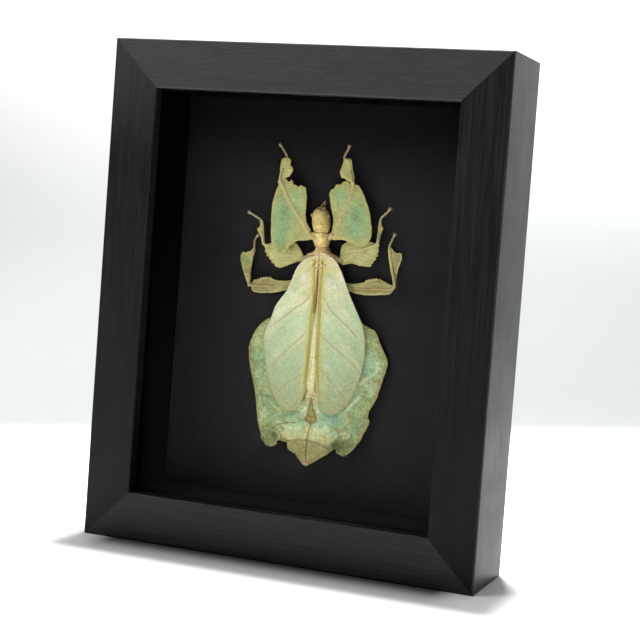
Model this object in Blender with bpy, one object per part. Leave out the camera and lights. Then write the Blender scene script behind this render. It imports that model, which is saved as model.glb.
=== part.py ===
# Leaf insect in a glazed shadow box, standing upright on the frame's bottom face.
# Sizes are millimetres; X is right, Y is back, Z is up, and the floor is Z = 0.
# The insect lies along the backing board, head up. Its pieces are drawn in x and z,
# and each has a height h measured forward from the board's face.

import bmesh
import bpy
import math
import numpy as np
from mathutils import Vector
from mathutils.geometry import delaunay_2d_cdt

MM = 0.001
GAP = 0.3

# Frame and case
FRAME_WIDTH = 126.0
FRAME_HEIGHT = 154.0
FRAME_DEPTH = 30.0
RAIL_FACE = 14.8
LIP_DEPTH = 4.0
WALL = 9.0
GLASS_THICK = 2.0
BOARD_FACE_DEPTH = 24.5
BOARD_THICK = 3.0
PANEL_THICK = 2.0
EDGE_ROUND = 0.6
EDGE_STEPS = 3

FRONT_Y = -FRAME_DEPTH / 2
BOARD_Y = FRONT_Y + BOARD_FACE_DEPTH

# Insect: body line and heights above the board
MID_X = 1.35
WING_TOP = 5.0
WING_ROOT_Z = 90.6
WING_SLOPE = 0.011
WING_DROP = 1.2
WING_REACH = 15.0
WING_THICK = 0.6
ABDOMEN_RIM = 1.9
ABDOMEN_RISE = 1.3
ABDOMEN_REACH = 20.0
ABDOMEN_RIM_THICK = 0.7
ABDOMEN_CORE_THICK = 1.2
ABDOMEN_CORE_REACH = 8.0
LOBE_CURL = 1.6
LEG_THICK = 0.7
BODY_SIDES = 20
BODY_STEP = 0.9
SECTION_POWER = 2.3
ROUND_SIDES = 8
ANTENNA_RADII = (0.42, 0.32, 0.36, 0.29, 0.33, 0.27, 0.31, 0.25, 0.24)
ANTENNA_STEP = 0.3
TARSUS_RADII = (0.5, 0.42, 0.52, 0.40, 0.50, 0.38, 0.47, 0.36, 0.44)
TARSUS_STEP = 0.5

# Fineness of the drawn outlines
OUTLINE_STEP = 1.5
LEG_STEP = 1.0
FILL_STEP = 3.0
LEG_FILL_STEP = 2.0
FILL_CLEARANCE = 0.45
JOIN_DISTANCE = 0.001
SMOOTH_ANGLE = math.radians(35)
SEED = 7

COLOURS = {
    "frame": ((0.022, 0.021, 0.020), 0.42),
    "spacer": ((0.010, 0.010, 0.010), 0.65),
    "board": ((0.014, 0.012, 0.012), 0.85),
    "panel": ((0.060, 0.045, 0.032), 0.80),
    "glass": ((0.700, 0.740, 0.730), 0.05),
    "head": ((0.520, 0.420, 0.190), 0.60),
    "eye": ((0.300, 0.250, 0.140), 0.30),
    "antenna": ((0.260, 0.150, 0.060), 0.55),
    "thorax": ((0.540, 0.390, 0.220), 0.62),
    "wing": ((0.430, 0.500, 0.290), 0.58),
    "abdomen": ((0.300, 0.400, 0.200), 0.60),
    "front_leg": ((0.300, 0.430, 0.250), 0.58),
    "middle_leg": ((0.400, 0.440, 0.190), 0.58),
    "hind_leg": ((0.340, 0.320, 0.140), 0.58),
    "tarsus": ((0.460, 0.420, 0.270), 0.60),
}


def clear_scene():
    for item in list(bpy.data.objects):
        bpy.data.objects.remove(item, do_unlink=True)


def material(name):
    colour, roughness = COLOURS[name]
    made = bpy.data.materials.new(name)
    made.use_nodes = True
    shader = made.node_tree.nodes["Principled BSDF"]
    shader.inputs["Base Color"].default_value = (*colour, 1.0)
    shader.inputs["Roughness"].default_value = roughness
    shader.inputs["Metallic"].default_value = 0.0
    if name == "glass":
        shader.inputs["Transmission Weight"].default_value = 1.0
    return made


def add_object(name, verts, faces, finish, smooth=True):
    """A mesh object from points in millimetres, with its faces turned outward."""
    mesh = bpy.data.meshes.new(name)
    mesh.from_pydata([tuple(float(c) * MM for c in v) for v in verts], [], faces)
    work = bmesh.new()
    work.from_mesh(mesh)
    bmesh.ops.recalc_face_normals(work, faces=work.faces)
    work.to_mesh(mesh)
    work.free()
    mesh.materials.append(material(finish))
    if smooth:
        mesh.shade_smooth()
        mesh.set_sharp_from_angle(angle=SMOOTH_ANGLE)
    made = bpy.data.objects.new(name, mesh)
    bpy.context.scene.collection.objects.link(made)
    return made


def placed(x, z, height):
    """Points of the insect, from x, z and the height in front of the board."""
    return np.column_stack([x, BOARD_Y - height, z])


# Curves and outlines

def through(points, step):
    """A smooth curve through the points, sampled about every step."""
    p = np.array(points, float)
    p = np.vstack([2 * p[0] - p[1], p, 2 * p[-1] - p[-2]])
    parts = []
    for a, b, c, d in zip(p[:-3], p[1:-2], p[2:-1], p[3:]):
        count = max(1, round(float(np.linalg.norm((c - b)[:2])) / step))
        t = np.arange(count)[:, None] / count
        parts.append(b + (c - a) * t / 2 + (2 * a - 5 * b + 4 * c - d) * t ** 2 / 2
                     + (3 * b - a - 3 * c + d) * t ** 3 / 2)
    parts.append(p[-2:-1])
    return np.vstack(parts)


def run(*points, teeth=0, tooth=0.5):
    """One stretch of an outline, from a corner to the next stretch's first point."""
    return list(points), teeth, tooth


def walk(curve, count):
    """The curve at count evenly spaced places, ends included."""
    lengths = np.r_[0, np.cumsum(np.linalg.norm(np.diff(curve, axis=0), axis=1))]
    at = np.linspace(0, lengths[-1], count)
    return np.column_stack([np.interp(at, lengths, curve[:, k]) for k in range(curve.shape[1])])


def serrated(curve, teeth, tooth, chance):
    """The curve with its odd places drawn outward as teeth of uneven length."""
    points = walk(curve, 2 * teeth + 1)
    along = np.gradient(points, axis=0)
    outward = np.column_stack([along[:, 1], -along[:, 0]])
    outward /= np.linalg.norm(outward, axis=1)[:, None]
    reach = tooth * chance.uniform(0.7, 1.2, teeth)
    points[1::2] += outward[1::2] * reach[:, None]
    return points


def outline(runs, step, chance):
    """A closed outline, counter-clockwise from the front, with no point repeated."""
    parts = []
    for index, (points, teeth, tooth) in enumerate(runs):
        following = runs[(index + 1) % len(runs)][0][0]
        curve = through(points + [following], step)
        if teeth:
            curve = serrated(curve, teeth, tooth, chance)
        parts.append(curve[:-1])
    return np.vstack(parts)


def distance_to(points, line):
    """The distance from each point to the nearest place on a line of points."""
    best = np.full(len(points), np.inf)
    for a, b in zip(line[:-1], line[1:]):
        span = b - a
        t = np.clip((points - a) @ span / (span @ span), 0, 1)
        best = np.minimum(best, np.linalg.norm(points - a - t[:, None] * span, axis=1))
    return best


def inside(points, loop):
    """True for the points inside a closed loop."""
    found = np.zeros(len(points), bool)
    for a, b in zip(loop, np.roll(loop, -1, axis=0)):
        spans = (a[1] > points[:, 1]) != (b[1] > points[:, 1])
        rise = b[1] - a[1] if b[1] != a[1] else 1.0
        found ^= spans & (points[:, 0] < (b[0] - a[0]) * (points[:, 1] - a[1]) / rise + a[0])
    return found


# Leaf-like plates

def vein(points, half, rise, step=OUTLINE_STEP):
    """A raised vein: its crest line, half its width at the foot, and its height."""
    return through(points, step), half, rise


def vein_lines(veins):
    """The crest and the two foot lines of each vein."""
    lines = []
    for crest, half, _ in veins:
        along = np.gradient(crest, axis=0)
        across = np.column_stack([-along[:, 1], along[:, 0]])
        across /= np.linalg.norm(across, axis=1)[:, None]
        lines += [crest, crest + across * half, crest - across * half]
    return lines


def raised(points, veins):
    """The height that the veins add at each point."""
    rise = np.zeros(len(points))
    for crest, half, top in veins:
        rise = np.maximum(rise, top * np.clip(1 - distance_to(points, crest) / half, 0, 1))
    return rise


def fill_points(loop, lines, spacing):
    """Points spread evenly inside an outline, clear of its edge and of the lines."""
    low = loop.min(axis=0)
    high = loop.max(axis=0)
    row_height = spacing * math.sqrt(3) / 2
    rows = []
    for index, z in enumerate(np.arange(low[1], high[1], row_height)):
        x = np.arange(low[0] + spacing / 2 * (index % 2), high[0], spacing)
        rows.append(np.column_stack([x, np.full(len(x), z)]))
    points = np.vstack(rows)
    points = points[inside(points, loop)]
    for line in [np.vstack([loop, loop[:1]])] + lines:
        points = points[distance_to(points, line) > spacing * FILL_CLEARANCE]
    return points


def plate(name, loop, veins, top, thickness, spacing, finish):
    """A thin solid with the outline's shape, alike in triangles on both faces.

    Its front face is at the height top(x, z), with the veins raised in it, and
    its back face lies behind it by thickness(x, z).
    """
    lines = vein_lines(veins)
    points = [loop]
    edges = []
    start = len(loop)
    for line in lines:
        line = line[inside(line, loop)]
        points.append(line)
        edges += [(start + i, start + i + 1) for i in range(len(line) - 1)]
        start += len(line)
    points.append(fill_points(loop, lines, spacing))
    drawn = [Vector(p) for p in np.vstack(points)]
    found = delaunay_2d_cdt(drawn, edges, [list(range(len(loop)))], 1, JOIN_DISTANCE)
    corners = np.array([tuple(v) for v in found[0]])
    triangles = [tuple(f) for f in found[2]]
    front = top(corners[:, 0], corners[:, 1])
    back = front - thickness(corners[:, 0], corners[:, 1])
    front = front + raised(corners, veins)
    verts = np.vstack([placed(corners[:, 0], corners[:, 1], front),
                       placed(corners[:, 0], corners[:, 1], back)])
    count = len(corners)
    sides = {side for face in triangles for side in zip(face, face[1:] + face[:1])}
    rim = sorted((a, b) for a, b in sides if (b, a) not in sides)
    faces = triangles + [tuple(i + count for i in reversed(f)) for f in triangles]
    faces += [(b, a, a + count, b + count) for a, b in rim]
    return add_object(name, verts, faces, finish, smooth=False)


def flat(value):
    """The same height or thickness everywhere, as a function of x and z."""
    return lambda x, z: np.full(len(x), value)


def sloping(height, start_z, slope):
    """A height that changes with z from its start, as a function of x and z."""
    return lambda x, z: height + slope * (z - start_z)


# Rounded body lengths and tubes

def rings_to_object(name, rings, finish):
    """A closed solid from rings of equally many points, with flat ends."""
    sides = len(rings[0])
    verts = np.vstack(rings)
    faces = [tuple(range(sides)), tuple(range(len(verts) - sides, len(verts)))[::-1]]
    for r in range(len(rings) - 1):
        for s in range(sides):
            t = (s + 1) % sides
            a, b = r * sides, (r + 1) * sides
            faces.append((a + t, a + s, b + s, b + t))
    return add_object(name, verts, faces, finish)


def body_length(name, stations, finish):
    """A length of the body. Each station is z, centre x, half width, low and high h."""
    angle = np.arange(BODY_SIDES) * 2 * math.pi / BODY_SIDES
    wide = np.sign(np.cos(angle)) * np.abs(np.cos(angle)) ** (2 / SECTION_POWER)
    tall = np.sign(np.sin(angle)) * np.abs(np.sin(angle)) ** (2 / SECTION_POWER)
    rings = []
    for z, x, half, low, high in through(stations, BODY_STEP):
        rings.append(placed(x + half * wide, np.full(BODY_SIDES, z),
                            (low + high) / 2 + (high - low) / 2 * tall))
    return rings_to_object(name, rings, finish)


def tube_rings(path, radii, sides):
    """Rings round a path of x, z, h points, square to it."""
    centres = placed(path[:, 0], path[:, 1], path[:, 2])
    along = np.gradient(centres, axis=0)
    along /= np.linalg.norm(along, axis=1)[:, None]
    angle = np.arange(sides) * 2 * math.pi / sides
    rings = []
    for centre, direction, radius in zip(centres, along, radii):
        side = np.cross(direction, (0.0, 1.0, 0.0))
        side /= np.linalg.norm(side)
        other = np.cross(side, direction)
        rings.append(centre + radius * (np.cos(angle)[:, None] * side
                                        + np.sin(angle)[:, None] * other))
    return rings


def tube(name, points, radii, sides, step, finish):
    """A round tube along a smooth path, its radius read evenly from the list."""
    path = through(points, step)
    place = np.linspace(0, len(radii) - 1, len(path))
    return rings_to_object(name, tube_rings(path, np.interp(place, range(len(radii)), radii), sides),
                           finish)


# The case

def rail_section():
    """A rail's section: distance in from its outer side, and y, counter-clockwise."""
    turn = np.linspace(0, math.pi / 2, EDGE_STEPS + 1)
    r = EDGE_ROUND
    outer = [(r - r * math.cos(a), FRONT_Y + r - r * math.sin(a)) for a in turn]
    lip = [(RAIL_FACE - r + r * math.sin(a), FRONT_Y + r - r * math.cos(a)) for a in turn]
    back_y = FRONT_Y + FRAME_DEPTH
    lip_y = FRONT_Y + LIP_DEPTH
    return outer + lip + [(RAIL_FACE, lip_y), (WALL, lip_y), (WALL, back_y), (0.0, back_y)]


def mitred(name, length, place, section, finish, inset=0.0):
    """A straight piece whose ends are cut at 45 degrees, put in place by a function."""
    trim = GAP / math.sqrt(2) + inset
    near = [place(-length / 2 + u + trim, u, y) for u, y in section]
    far = [place(length / 2 - u - trim, u, y) for u, y in section]
    count = len(section)
    faces = [tuple(range(count)), tuple(range(2 * count - 1, count - 1, -1))]
    for i in range(count):
        j = (i + 1) % count
        faces.append((j, i, i + count, j + count))
    return add_object(name, near + far, faces, finish, smooth=False)


def sides_of_case():
    """The four sides: name, length, and where a point of the section lands."""
    half = FRAME_WIDTH / 2
    middle = FRAME_HEIGHT / 2
    return {
        "bottom": (FRAME_WIDTH, lambda s, u, y: (s, y, u)),
        "top": (FRAME_WIDTH, lambda s, u, y: (s, y, FRAME_HEIGHT - u)),
        "left": (FRAME_HEIGHT, lambda s, u, y: (u - half, y, middle + s)),
        "right": (FRAME_HEIGHT, lambda s, u, y: (half - u, y, middle + s)),
    }


def box(name, low, high, finish):
    corners = [(x, y, z) for x in (low[0], high[0]) for y in (low[1], high[1]) for z in (low[2], high[2])]
    faces = [(0, 1, 3, 2), (4, 6, 7, 5), (0, 4, 5, 1), (2, 3, 7, 6), (0, 2, 6, 4), (1, 5, 7, 3)]
    return add_object(name, corners, faces, finish, smooth=False)


def make_case():
    glass_y = FRONT_Y + LIP_DEPTH + GAP
    spacer_front = glass_y + GLASS_THICK + GAP
    spacer_back = BOARD_Y - GAP
    panel_y = BOARD_Y + BOARD_THICK + GAP
    spacer = [(WALL + GAP, spacer_front), (RAIL_FACE, spacer_front),
              (RAIL_FACE, spacer_back), (WALL + GAP, spacer_back)]
    for side, (length, place) in sides_of_case().items():
        mitred("frame_" + side, length, place, rail_section(), "frame")
        mitred("spacer_" + side, length, place, spacer, "spacer")
    reach_x = FRAME_WIDTH / 2 - WALL - GAP
    low_z = WALL + GAP
    high_z = FRAME_HEIGHT - WALL - GAP
    layers = (("glass_pane", glass_y, GLASS_THICK, "glass"),
              ("backing_board", BOARD_Y, BOARD_THICK, "board"),
              ("back_panel", panel_y, PANEL_THICK, "panel"))
    for name, y, thick, finish in layers:
        box(name, (-reach_x, y, low_z), (reach_x, y + thick, high_z), finish)


# Head and thorax

HEAD_LOW = 99.25
HEAD_HIGH = 106.5
EYE_X = 0.65
EYE_Z = 103.8
EYE_SPREAD = 2.45
EYE_HEIGHT = 4.55
EYE_AXIS = (0.93, -0.22, 0.25)
EYE_RADIUS = 0.8
EYE_RISE = 0.65
EYE_SIDES = 12
EYE_LIFTS = (0, 25, 50, 75)


def make_head():
    body_length("head", [
        (HEAD_LOW, 0.8, 2.3, 1.5, 5.4), (100.2, 0.77, 2.75, 1.2, 6.1), (101.6, 0.72, 2.95, 1.0, 6.5),
        (102.8, 0.68, 2.8, 1.0, 6.4), (EYE_Z, EYE_X, EYE_SPREAD, 1.3, 6.1),
        (104.8, 0.55, 2.1, 1.6, 5.6), (105.8, 0.4, 1.5, 2.0, 4.9), (HEAD_HIGH, 0.3, 0.95, 2.5, 4.2)],
        "head")
    for side, name in ((-1, "left"), (1, "right")):
        make_eye("eye_" + name, side)
        make_antenna("antenna_" + name, side)


def make_eye(name, side):
    """A low dome on the side of the head, its flat base facing the cheek."""
    base = np.array((EYE_X + side * (EYE_SPREAD + GAP), BOARD_Y - EYE_HEIGHT, EYE_Z))
    axis = np.array((side * EYE_AXIS[0], EYE_AXIS[1], EYE_AXIS[2]))
    axis /= np.linalg.norm(axis)
    across = np.cross(axis, (0.0, 1.0, 0.0))
    across /= np.linalg.norm(across)
    other = np.cross(axis, across)
    angle = np.arange(EYE_SIDES)[:, None] * 2 * math.pi / EYE_SIDES
    rings = []
    for lift in np.radians(EYE_LIFTS):
        spoke = np.cos(angle) * across + np.sin(angle) * other
        rings.append(base + axis * EYE_RISE * math.sin(lift) + EYE_RADIUS * math.cos(lift) * spoke)
    rings_to_object(name, rings, "eye")


def make_antenna(name, side):
    """A short feeler from the front of the head, thick at its foot."""
    z = HEAD_HIGH + GAP
    if side < 0:
        points = [(-0.2, z, 3.4), (0.15, z + 0.7, 3.5), (0.8, z + 1.5, 3.6), (1.7, z + 2.3, 3.4)]
    else:
        points = [(0.95, z, 3.2), (1.35, z + 0.5, 3.1), (1.9, z + 0.9, 2.9), (2.6, z + 1.2, 2.6)]
    tube(name, points, ANTENNA_RADII, ROUND_SIDES, ANTENNA_STEP, "antenna")


def make_thorax():
    """The three lengths behind the head; the wings and legs meet them."""
    body_length("pronotum", [
        (95.0, 1.5, 1.75, 1.0, 4.9), (96.0, 1.3, 2.3, 0.8, 5.3), (97.2, 1.1, 2.8, 0.7, 5.4),
        (98.3, 0.95, 3.0, 0.8, 5.3), (HEAD_LOW - GAP, 0.9, 2.6, 1.2, 4.9)], "thorax")
    body_length("mesothorax", [
        (90.9, MID_X, 5.5, 0.3, 5.0), (91.7, MID_X, 5.3, 0.3, 5.15), (92.5, MID_X, 4.5, 0.3, 5.3),
        (93.1, MID_X, 2.9, 0.4, 5.3), (94.0, 1.4, 2.3, 0.6, 5.1), (94.7, 1.5, 1.9, 0.9, 4.8)], "thorax")
    body_length("metathorax", [
        (83.4, MID_X, 3.6, 0.5, 3.4), (85.0, MID_X, 3.9, 0.3, 3.8), (88.0, MID_X, 4.2, 0.3, 4.0),
        (90.6, MID_X, 4.5, 0.3, 4.0)], "thorax")


# Wings and abdomen

LEFT_WING = [
    run((1.2, 90.6), (-1.0, 90.65)),
    run((-3.4, 90.6), (-5.6, 88.2), (-7.2, 84.8), (-9.6, 80.2), (-12.5, 75.2), (-14.7, 70.3),
        (-15.9, 65.0), (-15.7, 59.5), (-14.4, 54.0), (-12.2, 48.6), (-9.6, 44.8), (-5.9, 43.2),
        (-2.4, 44.6), (-0.5, 48.2), (0.4, 52.5), (0.75, 59.0), (0.85, 67.0), (1.15, 74.0),
        (1.2, 82.0)),
]
RIGHT_WING = [
    run((6.1, 90.6), (3.5, 90.65)),
    run((1.5, 90.6), (1.5, 82.0), (1.6, 74.0), (2.05, 67.0), (2.2, 59.0), (2.6, 52.5),
        (3.7, 48.2), (5.4, 44.7), (8.2, 43.6), (11.6, 45.6), (13.9, 48.9), (16.1, 54.0),
        (17.5, 59.5), (17.9, 66.0), (16.9, 71.2), (14.7, 75.2), (12.4, 79.8), (10.2, 84.0),
        (8.6, 87.8)),
]
MAIN_VEINS = {
    -1: [(-0.3, 89.4), (-0.35, 75.0), (-0.45, 62.0), (-0.75, 52.0), (-1.5, 47.5)],
    1: [(2.95, 89.4), (3.0, 75.0), (3.35, 62.0), (3.8, 52.0), (4.7, 48.0)],
}
MAIN_VEIN_HALF = 0.6
MAIN_VEIN_RISE = 0.35
SIDE_VEIN_STARTS = (87.5, 81.0, 70.5, 58.0)
SIDE_VEIN_PATH = ((0.0, 0.0), (1.2, 2.0), (3.6, 4.6), (6.6, 7.2), (9.4, 10.2), (12.0, 13.6))
SIDE_VEIN_HALF = 0.45
SIDE_VEIN_RISE = 0.22


def wing_top(x, z):
    """Wings lie highest at the body, and fall away to both sides and to the tail."""
    return (WING_TOP - WING_SLOPE * (WING_ROOT_Z - z)
            - WING_DROP * ((x - MID_X) / WING_REACH) ** 2)


def wing_veins(side):
    """One vein along the inner edge, and veins that slant out and down from it."""
    main = vein(MAIN_VEINS[side], MAIN_VEIN_HALF, MAIN_VEIN_RISE)
    veins = [main]
    for start in SIDE_VEIN_STARTS:
        nearest = np.argmin(np.abs(main[0][:, 1] - start))
        foot = main[0][nearest]
        path = [(foot[0] + side * out, foot[1] - down) for out, down in SIDE_VEIN_PATH]
        veins.append(vein(path, SIDE_VEIN_HALF, SIDE_VEIN_RISE))
    return veins


def make_wings(chance):
    for name, side, runs in (("forewing_left", -1, LEFT_WING), ("forewing_right", 1, RIGHT_WING)):
        plate(name, outline(runs, OUTLINE_STEP, chance), wing_veins(side), wing_top,
              flat(WING_THICK), FILL_STEP, "wing")


ABDOMEN = [
    run((4.8, 83.1), (1.4, 83.1)),
    run((-2.1, 83.1), (-3.4, 80.5), (-6.2, 76.5), (-11.0, 72.6), (-15.5, 70.4), (-18.2, 69.2),
        (-20.2, 65.2), (-21.4, 61.8), (-20.7, 57.5), (-19.6, 52.6), (-18.3, 48.5), (-17.3, 43.0),
        (-16.3, 38.5), (-14.7, 34.6), (-12.9, 31.8), (-10.9, 31.2)),
    run((-9.1, 32.0), (-9.3, 33.5)),
    run((-8.6, 33.9), (-7.0, 34.0), (-5.4, 34.0), (-2.0, 34.5), (1.3, 35.1), (4.5, 34.5), (8.4, 33.4)),
    run((9.2, 32.0), (10.4, 32.5)),
    run((11.8, 33.0), (11.5, 32.2)),
    run((11.1, 31.4), (13.0, 31.2), (15.4, 32.5), (17.9, 35.2), (19.7, 39.0), (20.5, 43.0),
        (21.4, 47.8), (22.9, 52.7), (24.3, 58.0), (24.9, 62.0), (23.1, 65.6), (20.8, 69.5),
        (17.4, 71.2), (12.6, 74.0), (8.6, 77.5), (6.2, 80.5)),
]
ABDOMEN_TIP = [
    run((8.6, 32.9), (4.5, 34.1), (1.3, 34.7), (-2.0, 34.1)),
    run((-5.5, 33.6), (-5.6, 32.2)),
    run((-5.3, 30.9), (-2.9, 29.9), (-1.1, 27.9), (1.0, 26.4), (3.4, 27.9), (6.2, 30.1)),
]
STRIP_HALF = 0.75
STRIP_RISE = 0.8
KEEL_HALF = 0.8
KEEL_RISE = 0.35
KEEL_STEP = 3.0
LOBE_CORNERS = ((-11.5, 30.5), (13.5, 30.5))
LOBE_REACH = 6.0


def abdomen_top(x, z):
    """The abdomen is a shallow roof, with its two hind corners curled forward."""
    away = (x - MID_X) / ABDOMEN_REACH
    top = ABDOMEN_RIM + ABDOMEN_RISE * np.clip(1 - away ** 2, 0, 1)
    for corner_x, corner_z in LOBE_CORNERS:
        near = np.clip(1 - np.hypot(x - corner_x, z - corner_z) / LOBE_REACH, 0, 1)
        top = top + LOBE_CURL * near ** 2 * (3 - 2 * near)
    return top


def abdomen_thick(x, z):
    away = (x - MID_X) / ABDOMEN_CORE_REACH
    return ABDOMEN_RIM_THICK + ABDOMEN_CORE_THICK * np.clip(1 - away ** 2, 0, 1)


def make_abdomen(chance):
    strip = vein([(MID_X, 80.0), (MID_X + 0.15, 50.0)], STRIP_HALF, STRIP_RISE, KEEL_STEP)
    keel = vein([(MID_X + 0.15, 47.5), (MID_X, 37.0)], KEEL_HALF, KEEL_RISE)
    plate("abdomen", outline(ABDOMEN, OUTLINE_STEP, chance), [strip, keel], abdomen_top,
          abdomen_thick, FILL_STEP, "abdomen")
    tip_keel = vein([(MID_X, 33.5), (MID_X, 28.5)], KEEL_HALF, KEEL_RISE)
    plate("abdomen_tip", outline(ABDOMEN_TIP, OUTLINE_STEP, chance), [tip_keel], abdomen_top,
          abdomen_thick, LEG_FILL_STEP, "abdomen")


# Legs. Each femur and tibia is a leaf-like plate with a shaft raised along it.

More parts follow.
